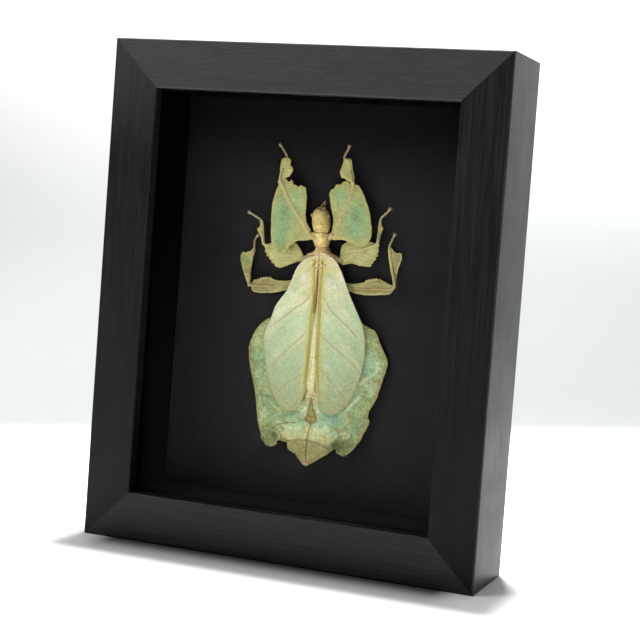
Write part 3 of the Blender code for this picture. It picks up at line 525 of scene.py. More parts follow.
def railSolid(side):
    # The profile is carried along the rail, and both ends shorten with the distance in: a mitre
    profile = railProfile()
    length = caseWidth if side in ("bottom", "top") else caseHeight
    u, y = profile[:, 0][None], profile[:, 1][None]
    t = np.linspace(-1, 1, rails["pieces"])[:, None]
    along = t * (length / 2 - u - rails["mitre"])
    places = {
        "bottom": (along, y, u),
        "top": (along, y, caseHeight - u),
        "left": (u - caseWidth / 2, y, caseHeight / 2 + along),
        "right": (caseWidth / 2 - u, y, caseHeight / 2 + along),
    }[side]
    rings = np.stack(np.broadcast_arrays(*places), axis=-1)
    index, quads = ringQuads(rings)
    return rings.reshape(-1, 3), quads + [index[0].tolist(), index[-1][::-1].tolist()], {}


def stainedWood(name, grain, side):
    # Fine pores and streaks drawn out along the grain, under a thin satin black stain
    paint = Paint(name)

    def drawn(kind):
        across, along = rails["grain"][kind]
        return tuple(along if letter == grain else across for letter in "xyz")
    streaks = paint.clouds(1.0, 4.0, 0.6, drawn("streaks"))
    pores = paint.clouds(1.0, 2.0, 0.5, drawn("pores"))
    flecks = paint.clouds(1.0, 2.0, 0.6, drawn("flecks")).rise(0.58, 0.74)
    # Slow patches of wear vary the roughness
    wearAndLitTop = paint.clouds(14.0, 3.0).rise(0.35, 0.7)
    colour = paint.mix(streaks.rise(0.35, 0.7) * 0.7 + pores * 0.3, rails["dark"], rails["light"])
    z = paint.axis("Z")
    # Painted shade and light: the side rails darken towards the foot, and the right one lightens
    # towards the head
    if side in rails["paintedLightShares"]:
        foot, head = rails["paintedLightShares"][side]
        tone = 1 + z.rise(*rails["footFrom"]) * (foot - 1) + z.rise(*rails["headFrom"]) * (head - 1)
        colour = paint.scaled(colour, tone)
    if side == "right":
        # Painted sheen: the outer side of the right rail is lighter, as the bright surroundings
        # reflect in it, streaked like worn wood
        outer = paint.axis("X").rise(*rails["sheenAndWearFrom"])
        sheenAndWear = outer * (streaks * 0.7 + flecks * 0.4).least(1.0)
        colour = paint.mix(sheenAndWear, colour, rails["sheenAndWear"])
    else:
        # Painted light: the upper part of the front is lighter, where the light from above falls on
        # it
        top = z.rise(*rails["litTopFrom"]) * paint.axis("Y").rise(*rails["litTopFront"])
        colour = paint.mix(top * (0.55 + streaks * 0.8).least(1.0), colour, rails["wearAndLitTop"])
    low, high = rails["rough"]
    rough = low + (high - low) * (streaks * 0.5 + wearAndLitTop * 0.5)
    relief = streaks * 0.35 + pores.rise(0.3, 0.75) * 0.5 - flecks * 0.25
    return paint.finish(colour, rough, paint.bump(relief, rails["poreDepth"]),
                        Specular_IOR_Level=rails["sheen"][side])


def buildRails():
    level = stainedWood("stainedWoodLevel", "x", "level")
    woods = {"bottom": level, "top": level, "left": stainedWood("stainedWoodLeft", "z", "left"),
             "right": stainedWood("stainedWoodRight", "z", "right")}
    for side, wood in woods.items():
        addPiece("rail_" + side, railSolid(side), wood, ["frame_" + side],
                 crease=35.0)
    print("rails built")


# Inside of the case: painted spacers, the dark board, the panel behind and the glass

inside = {
    "spacer": (0.0010, 0.0010, 0.0010),
    "ledge": (0.0120, 0.0112, 0.0115),  # the bottom spacer, lighter as painted light on its upward face
    "board": (0.0188, 0.0166, 0.0171),
    "boardDark": (0.0128, 0.0114, 0.0118),
    "railShadow": (0.0016, 0.0014, 0.0015),
    "railShadowFrom": (112.0, 136.0),
    "panel": (0.150, 0.105, 0.066),
    "panelDark": (0.095, 0.062, 0.038),
    "glassTint": (0.985, 0.992, 0.990),
}


def paintedSpacer(name, colour):
    paint = Paint(name)
    grit = paint.clouds(0.5, 3.0, 0.6)
    shade = paint.mix(grit.rise(0.3, 0.8), colour, tuple(1.8 * c for c in colour))
    return paint.finish(shade, 0.62 + 0.2 * grit, paint.bump(grit, 0.03), Specular_IOR_Level=0.04)


def darkBoard():
    # Card with a faint tooth and slow mottling, darkening towards the top as a painted shadow of
    # the top rail
    paint = Paint("darkBoard")
    tooth = paint.clouds(0.35, 3.0, 0.6)
    mottle = paint.clouds(11.0, 4.0, 0.6)
    share = mottle.rise(0.3, 0.7) * 0.6 + tooth * 0.4
    colour = paint.mix(share, inside["boardDark"], inside["board"])
    # Painted shadow of the top rail: the board darkens towards its top
    colour = paint.mix(paint.axis("Z").rise(*inside["railShadowFrom"]), colour, inside["railShadow"])
    return paint.finish(colour, 0.78 + 0.15 * tooth, paint.bump(tooth, 0.03),
                        Specular_IOR_Level=0.15)


def fibrePanel():
    # Pressed fibreboard: short pale fibres on brown, with a fine wire-mesh print
    paint = Paint("fibrePanel")
    upright, level = (0.35, 0.35, 2.2), (2.2, 0.35, 0.35)
    fibres = paint.clouds(1.0, 3.0, 0.65, upright) * paint.clouds(1.0, 3.0, 0.65, level)
    stains = paint.clouds(30.0, 3.0)
    mesh = paint.cells(1.1)
    share = fibres.rise(0.15, 0.4) * 0.8 + stains * 0.2
    colour = paint.mix(share, inside["panelDark"], inside["panel"])
    return paint.finish(colour, 0.74 + 0.12 * fibres, paint.bump(fibres + mesh * 0.4, 0.08))


def clearGlass():
    # Sheen by Fresnel over a clear tint, so that lamps reach the insect behind it
    paint = Paint("clearGlass")
    edge = paint.node("ShaderNodeFresnel", {}, {"IOR": 1.05})
    clear = paint.node("ShaderNodeBsdfTransparent", {}, {"Color": (*inside["glassTint"], 1.0)})
    sheen = paint.node("ShaderNodeBsdfGlossy", {},
                       {"Color": (1.0, 1.0, 1.0, 1.0), "Roughness": 0.03})
    return paint.shine(paint.node("ShaderNodeMixShader", {}, {0: edge, 1: clear, 2: sheen}))


def finishCase():
    spacer = paintedSpacer("flatBlackPaint", inside["spacer"])
    for side in ("top", "left", "right"):
        refinish("spacer_" + side, spacer)
    # The bottom spacer is lighter: painted light on its upward face
    refinish("spacer_bottom", paintedSpacer("litLedgePaint", inside["ledge"]))
    refinish("backing_board", darkBoard())
    refinish("back_panel", fibrePanel())
    refinish("glass_pane", clearGlass())
    print("case finished")


# Skins of the insect: dry cuticle, drawn by the marks of each piece


def cuticle(paint, colour, grain=0.35, depth=0.045, rough=0.46, under=None, grains=1.0):
    # Fine granules and pits on any skin, glossier on their tops; grains sets how speckled it is
    granules = paint.clouds(grain, 3.0, 0.65)
    pits = paint.cells(grain * 1.6, "F1")
    relief = granules * 0.6 + pits * 0.4
    colour = paint.grained(paint.grained(colour, 0.42, 1.4 * grains), 1.0, 0.9 * grains)
    return paint.finish(colour, rough + 0.2 * (1 - granules), paint.bump(relief, depth, under),
                        Specular_IOR_Level=0.2)


# Roof of the abdomen, on which the rims of the wings rest

roof = {"rim": 1.9, "rise": 1.3, "reach": 20.0, "wave": 0.28, "waveSize": 6.5}


def roofHeight(x, z):
    # Highest along the middle as 1 - square, with slow waves that grow towards the flanges
    away = np.clip(np.abs(x - midLine) / roof["reach"], 0, 1)
    return (roof["rim"] + roof["rise"] * (1 - away ** 2)
            + roof["wave"] * away ** 2 * hills(x, z, roof["waveSize"], 21))


# Wings: two leaf-like covers that meet along the back and part over the abdomen's pale strip

wings = {
    "top": 5.05,  # height at the shoulders
    "shoulder": 90.6,  # z there
    "slope": 0.012,  # fall towards the tail
    "drop": 1.2,  # fall to the side, at reach from the middle line
    "reach": 15.0,
    "thick": 0.34,
    "rest": 0.17,  # height of the lower rim over the abdomen
    "restReach": 2.6,
    "restFrom": (78.0, 56.0),  # z between which that rim comes down,
    "restBand": (0.4, 2.6),  # and how far from the band it does
    "tail": (53.0, 44.0), "tailDown": 0.85,
    "under": {"left": 0.0, "right": 0.12},  # how much lower a wing lies
    "columns": 124,
    "rows": 310,
    "bandHalf": 0.55,
    "bandRise": 0.20,
    "veinHalf": 0.34,
    "veinRise": 0.11,
    "minorShare": (0.5, 0.8),  # rise and width of the finer veins to the main ones'
    "left": [
        ([(1.42, 91.95), (0.6, 91.9), (-0.4, 91.6), (-1.3, 91.35)], 0),
        ([(-2.15, 91.0), (-3.7, 90.1), (-5.3, 88.4), (-6.5, 86.2), (-7.7, 82.9), (-9.1, 79.8),
          (-11.1, 77.1), (-12.7, 74.5), (-13.8, 71.2), (-15.2, 68.5), (-16.1, 65.5), (-16.0, 62.0),
          (-15.5, 59.6), (-14.9, 56.6), (-13.8, 53.0), (-12.5, 49.3), (-11.1, 46.7), (-9.2, 44.7),
          (-7.0, 43.4), (-4.7, 43.1), (-3.0, 43.8), (-1.9, 45.2), (-1.2, 47.0), (-0.6, 49.0),
          (0.1, 51.3), (0.5, 55.0), (0.52, 60.0), (0.56, 66.0), (0.84, 71.0), (1.12, 74.0),
          (1.38, 77.5), (1.45, 82.0), (1.4, 87.5)], 0),
    ],
    "leftCorners": [(-2.15, 91.0), (-9.2, 44.7), (-3.0, 43.8), (1.42, 91.95)],
    "right": [
        ([(5.7, 91.7), (4.1, 92.05), (2.6, 92.1)], 0),
        ([(1.25, 92.0), (1.26, 87.5), (1.34, 82.0), (1.3, 77.5), (1.3, 74.0), (1.5, 71.4),
          (1.84, 68.8), (1.98, 66.0), (2.06, 61.9), (2.2, 58.6), (2.5, 54.2), (2.95, 51.9),
          (3.6, 49.9), (3.9, 47.9), (4.4, 46.2), (5.5, 44.5), (7.4, 43.5), (9.9, 44.0),
          (12.4, 46.2), (14.1, 48.9), (15.5, 51.8), (16.7, 55.7), (17.4, 59.4), (17.7, 63.7),
          (17.4, 67.4), (16.6, 71.2), (15.1, 74.4), (13.9, 76.8), (12.0, 80.6), (10.6, 83.6),
          (9.7, 85.8), (8.7, 88.0), (7.2, 90.3)], 0),
    ],
    "rightCorners": [(1.25, 92.0), (5.5, 44.5), (12.4, 46.2), (5.7, 91.7)],
    "leftBand": [(0.0, 90.2), (0.05, 87.1), (0.3, 83.0), (0.42, 79.7), (0.27, 75.3), (0.06, 72.0),
                 (-0.1, 66.0), (-0.25, 61.8), (-0.25, 58.5), (-0.35, 54.5), (-0.7, 51.0),
                 (-1.4, 47.8)],
    "rightBand": [(2.6, 90.2), (2.5, 87.3), (2.4, 84.0), (2.47, 79.9), (2.67, 75.5), (2.8, 72.2),
                  (2.85, 66.0), (2.9, 62.1), (3.05, 58.8), (3.35, 55.0), (3.8, 51.6), (4.4, 48.6)],
    "bandFade": (47.0, 54.0), "bandLeast": 0.3,
    "leftVeins": [
        [(-0.1, 80.8), (-0.6, 79.5), (-2.8, 76.9), (-5.3, 75.2), (-7.7, 73.3), (-10.5, 70.9),
         (-13.6, 68.8)],
        [(-0.3, 69.3), (-1.1, 68.2), (-3.6, 65.6), (-6.6, 62.7), (-10.0, 59.0), (-12.5, 56.1)],
        [(-0.5, 56.4), (-1.2, 55.6), (-4.4, 53.1), (-8.1, 50.2), (-11.1, 46.9)],
        [(0.0, 84.4), (-1.1, 83.4), (-3.3, 82.5), (-6.3, 80.2)],
        [(-6.4, 74.4), (-8.0, 71.6), (-9.8, 68.6), (-12.6, 64.4), (-14.9, 61.0)],
        [(-7.4, 61.8), (-8.8, 58.4), (-10.6, 55.4), (-12.9, 52.0)],
        [(-11.2, 46.9), (-12.0, 49.4), (-12.1, 51.9), (-12.8, 54.4)],
        [(-2.4, 48.6), (-4.2, 47.0), (-6.2, 44.8)],
    ],
    "rightVeins": [
        [(2.8, 80.0), (3.4, 79.0), (4.9, 77.3), (7.2, 74.7), (10.0, 72.4), (12.3, 70.5),
         (15.0, 68.0)],
        [(3.1, 68.4), (4.0, 67.4), (5.6, 66.0), (8.4, 63.9), (11.2, 61.9), (14.2, 59.7),
         (16.2, 57.4)],
        [(3.5, 57.4), (4.8, 56.3), (7.5, 53.8), (10.2, 51.3), (12.6, 48.7)],
        [(2.7, 88.2), (4.4, 86.8), (6.4, 84.8), (8.4, 82.0)],
        [(8.2, 74.0), (10.2, 70.6), (12.6, 66.2), (15.6, 62.4)],
        [(9.4, 63.2), (11.2, 59.0), (13.2, 55.2), (15.2, 52.4)],
        [(11.2, 50.3), (11.8, 48.4), (12.0, 46.9)],
        [(5.0, 49.4), (6.8, 47.4), (8.8, 45.0)],
    ],
    "mainVeins": 3,
    "foldTurn": {"left": 41.0, "right": -41.0},
    "folds": [  # turn, size across, size along, seed and share
        (1.0, 1.4, 5.0, 61, 0.6),
        (1.25, 2.8, 7.0, 62, 0.7),
    ],
    "foldRise": 0.075,
    "calm": 1.6,  # folds and waves grow up to here from the band,
    "calmLeast": 0.15,  # where they have this share
    "waves": [(0.09, 4.5, 11), (0.035, 1.6, 12)],  # rise, size and seed
    "grain": (0.022, 0.7, 13),
    "swell": 0.08, "swellReach": 3.0,  # between the veins
    "dotRise": 0.1,
    "seamDepth": 0.07, "seamHalf": 0.22, "seamPale": (89.5, 87.5), "seamLeast": 0.4,
    "bandColour": 0.5, "goldAt": 0.8, "goldHalf": 0.6, "edge": 0.15,
    "veinColour": 0.23, "minorColour": 0.15, "haloHalf": 0.9, "seamColour": 0.24,
    "beigeHalf": 0.32, "redHalf": 0.16,
    "upper": 74.0, "stepShadeTop": 87.5,  # the wings touch between these
    "seam": [(1.3, 92.0), (1.3, 88.0), (1.4, 85.3), (1.48, 82.0), (1.4, 79.8), (1.36, 76.5),
             (1.2, 74.3)],
    # Painted shade: a darker step along the left wing's inner edge, which ends at this line
    "wedge": [(1.25, 88.0), (1.0, 85.0), (0.86, 82.0), (0.7, 79.8), (0.55, 76.4), (0.7, 74.4)],
    "beige": [(1.62, 90.6), (1.66, 86.0), (1.78, 82.0), (1.72, 79.0), (1.7, 76.0), (1.7, 73.0)],
    "redLine": [(2.2, 82.0), (2.16, 78.0), (2.2, 74.0), (2.24, 70.0), (2.3, 65.0), (2.4, 60.0)],
    "stitches": [(-0.16, 89.15, 0.22, 1.0), (-0.47, 88.64, 0.22, 1.0), (2.88, 89.53, 0.22, 1.0),
                 (3.62, 89.1, 0.24, 1.0), (1.5, 89.1, 0.25, 1.0), (0.4, 89.7, 0.2, 0.9),
                 (2.3, 89.8, 0.2, 0.9), (1.35, 90.3, 0.3, 0.7), (0.5, 87.9, 0.18, 0.6),
                 (2.3, 87.9, 0.18, 0.6)],
    "pearls": [(0.58, 88.8, 0.32, 1.1), (2.34, 88.9, 0.32, 1.1), (-0.9, 89.6, 0.28, 0.8),
               (3.3, 89.9, 0.28, 0.8)],
    # Painted highlights on the wings, each x, z, radius and strength
    "bright": [(7.0, 83.0, 1.7, 1.1), (8.9, 80.4, 1.2, 0.7), (4.6, 84.4, 1.0, 0.5),
               (-3.2, 84.6, 1.7, 0.8), (-7.4, 79.2, 1.3, 0.6), (-11.2, 73.2, 1.5, 0.6),
               (5.8, 89.6, 1.0, 0.6), (-3.2, 89.2, 1.2, 0.6), (-10.8, 60.6, 1.6, 0.4),
               (-3.6, 70.6, 1.4, 0.4), (11.8, 64.4, 1.6, 0.35), (6.2, 58.0, 1.4, 0.35)],
    "olive": [(5.0, 88.0, 0.9, 0.7), (-1.3, 88.3, 0.8, 0.6), (-2.0, 80.4, 1.1, 0.5),
              (-5.8, 73.6, 1.0, 0.4), (4.4, 75.2, 1.0, 0.5), (8.2, 77.2, 1.2, 0.4),
              (-2.6, 62.6, 1.2, 0.45), (-2.2, 53.8, 1.2, 0.4)],
    "colours": {
        "cream": (0.68, 0.61, 0.31),
        "paintedHighlight": (0.82, 0.76, 0.62),
        "white": (0.82, 0.75, 0.50),
        "pale": (0.57, 0.67, 0.40),
        "green": (0.43, 0.54, 0.30),
        "low": (0.40, 0.43, 0.19),
        "teal": (0.36, 0.54, 0.34),
        "pink": (0.62, 0.56, 0.34),
        "vein": (0.44, 0.355, 0.165),
        "band": (0.42, 0.335, 0.055),
        "gold": (0.62, 0.52, 0.17),
        "edge": (0.46, 0.42, 0.20),
        "rim": (0.34, 0.27, 0.13),
        "fleck": (0.33, 0.27, 0.17),
        "seam": (0.155, 0.08, 0.006),
        "wedge": (0.21, 0.15, 0.018),
        "beige": (0.62, 0.44, 0.22),
    },
}


def wingHeight(x, z):
    # Highest along the body, falling straight towards the tail and as a square to the side
    return (wings["top"] - wings["slope"] * (wings["shoulder"] - z)
            - wings["drop"] * ((x - midLine) / wings["reach"]) ** 2)


def wingSolid(side, chance):
    loop = outline(wings[side], chance, sway=0.06)
    x, z = leafGrid(loop, wings[side + "Corners"], wings["columns"], wings["rows"])
    rim = rimDistance(x, z, loop)
    band = nearLine(x, z, wings[side + "Band"])
    veins = [nearLine(x, z, line) for line in wings[side + "Veins"]]
    main = np.min(veins[:wings["mainVeins"]], axis=0)
    minor = np.min(veins[wings["mainVeins"]:], axis=0)
    seam = nearLine(x, z, wings["seam"])
    fold = sum(share * drawnHills(x, z, wings["foldTurn"][side] * turn, across, along, seed)
               for turn, across, along, seed, share in wings["folds"])
    waves = sum(rise * hills(x, z, size, seed) for rise, size, seed in wings["waves"])
    height = wingHeight(x, z) - wings["under"][side]
    # Away from the bands the lower rim comes down to the abdomen, as exp(-(rim / reach)^2)
    low = ramp(z, *wings["restFrom"])
    down = soft(rim, wings["restReach"]) * low * ramp(band, *wings["restBand"])
    down = np.maximum(down, ramp(z, *wings["tail"]) * wings["tailDown"])
    height += (roofHeight(x, z) + wings["rest"] - height) * down
    fade, least = ramp(z, *wings["bandFade"]), wings["bandLeast"]
    height += wings["bandRise"] * bell(band, wings["bandHalf"]) * (least + (1 - least) * fade)
    height += wings["veinRise"] * bell(main, wings["veinHalf"])
    rise, half = wings["minorShare"]
    height += rise * wings["veinRise"] * bell(minor, wings["veinHalf"] * half)
    height += wings["swell"] * ramp(np.minimum(main, band), 0, wings["swellReach"]) * (1 - down)
    calm = np.clip(band / wings["calm"], wings["calmLeast"], 1)
    height += calm * (wings["foldRise"] * fold + waves)
    rise, size, seed = wings["grain"]
    height += rise * hills(x, z, size, seed)
    height += wings["dotRise"] * glow(x, z, wings["pearls"] + wings["stitches"])
    height -= wings["seamDepth"] * soft(seam, wings["seamHalf"])
    thick = wings["thick"] * thinRim(rim, 0.35)
    shown = np.maximum(ramp(z, *wings["seamPale"]), wings["seamLeast"])
    above, edge = z > wings["upper"], wings["edge"]
    wedge = ramp(x - sideAt(z, wings["wedge"]), -edge, 0) * (z < wings["stepShadeTop"]) * above
    marks = {
        "rim": rim,
        "low": low,
        "band": np.exp(-(band / wings["bandColour"]) ** 4) * fade,
        "gold": soft(band - wings["goldAt"], wings["goldHalf"]) * fade,
        "vein": soft(main, wings["veinColour"]),
        "minor": soft(minor, wings["minorColour"]),
        "halo": soft(np.minimum(main, minor + 0.5), wings["haloHalf"]),
        "fold": np.clip(fold * 0.5 + 0.5, 0, 1),
        "seam": soft(seam, wings["seamColour"]) * shown,
        "wedge": wedge * (side == "left"),
        "beige": strokes(x, z, wings["beige"], wings["beigeHalf"]) * above * (side == "right"),
        "redLine": strokes(x, z, wings["redLine"], wings["redHalf"]) * (side == "right"),
        "stitch": 1.3 * glow(x, z, wings["stitches"]),
        "pearl": glow(x, z, wings["pearls"]),
        "bright": glow(x, z, wings["bright"]),
        "olive": glow(x, z, wings["olive"]),
    }
    return leafSolid(x, z, height, thick, marks)


def wingSkin():
    look = wings["colours"]
    paint = Paint("wingSkin")
    z = paint.axis("Z")
    slow, middling = paint.clouds(9.0, 3.0), paint.clouds(2.6, 3.0)
    fine = paint.clouds(0.6, 3.0, 0.7)
    net = paint.cells(1.0, stretch=(1.0, 1.0, 1.3))
    down = z + (slow - 0.5) * 14
    fold = paint.mark("fold") + (middling - 0.5) * 0.5
    freckled = fine.rise(0.5, 0.7) * z.rise(68.0, 45.0)
    lines = (paint.mark("vein") * (0.34 + fine * 0.7)
             + paint.mark("minor") * fine.rise(0.35, 0.65) * 0.35)
    dark = paint.mark("seam").most(paint.mark("stitch")).least(0.95)
    colour = paint.mix(down.rise(89.0, 75.0), look["cream"], look["pale"])
    colour = paint.layered(colour, [
        (down.rise(73.0, 53.0), look["green"]),
        (down.rise(56.0, 44.0) * 0.8, look["low"]),
        (middling.rise(0.45, 0.75) * z.rise(84.0, 62.0) * 0.45, look["teal"]),
        # Painted highlight on the crests of the folds and painted shade in their troughs
        (fold.rise(0.5, 0.85) * z.rise(44.0, 84.0) * 0.75, look["white"]),
        (fold.rise(0.42, 0.12) * 0.5, look["green"]),
        (paint.mark("olive") * (0.2 + middling * 0.8), look["gold"]),
        # Painted highlights: spots on the wings and a light band along the rims at the shoulders
        ((paint.mark("bright") * middling.rise(0.2, 0.6)).least(0.9), look["paintedHighlight"]),
        (paint.mark("rim").rise(0.7, 0.15) * z.rise(76.0, 84.0) * 0.4, look["paintedHighlight"]),
        (paint.mark("halo") * (0.1 + middling * 0.32), look["pink"]),
        ((freckled * 1.1).least(0.9), look["fleck"]),
        (net.rise(0.16, 0.0) * 0.14, look["fleck"]),
        (lines.least(0.9), look["vein"]),
        (paint.mark("gold") * 0.65, look["gold"]),
        (paint.mark("rim").rise(1.4, 0.3) * 0.6 * paint.mark("low"), look["edge"]),
        (paint.mark("rim").rise(0.22, 0.08) * fine.rise(0.3, 0.6) * 0.6, look["rim"]),
        (paint.mark("band") * (0.45 + fine * 0.7).least(0.95), look["band"]),
        (paint.mark("beige") * 0.8, look["beige"]),
        (paint.mark("redLine") * 0.55, look["wedge"]),
        # Painted shade in the step beside the seam
        (paint.mark("wedge") * (0.5 + fine * 0.6).least(0.95), look["wedge"]),
        (paint.mark("pearl").least(1.0) * 0.8, look["white"]),
        (dark * (0.6 + fine * 0.6).least(1.0), look["seam"]),
    ])
    relief = net.rise(0.0, 0.25) * 0.4 + fine * 0.6
    return cuticle(paint, colour, 0.3, 0.02, 0.46, paint.bump(relief, 0.05), 0.42)


def buildWings():
    skin = wingSkin()
    chance = np.random.default_rng(3)
    for side in ("left", "right"):
        addPiece("wing_" + side, wingSolid(side, chance), skin, ["forewing_" + side])
    print("wings built")


# Abdomen: a broad leaf with wavy flanges, curled hind corners and the last segment

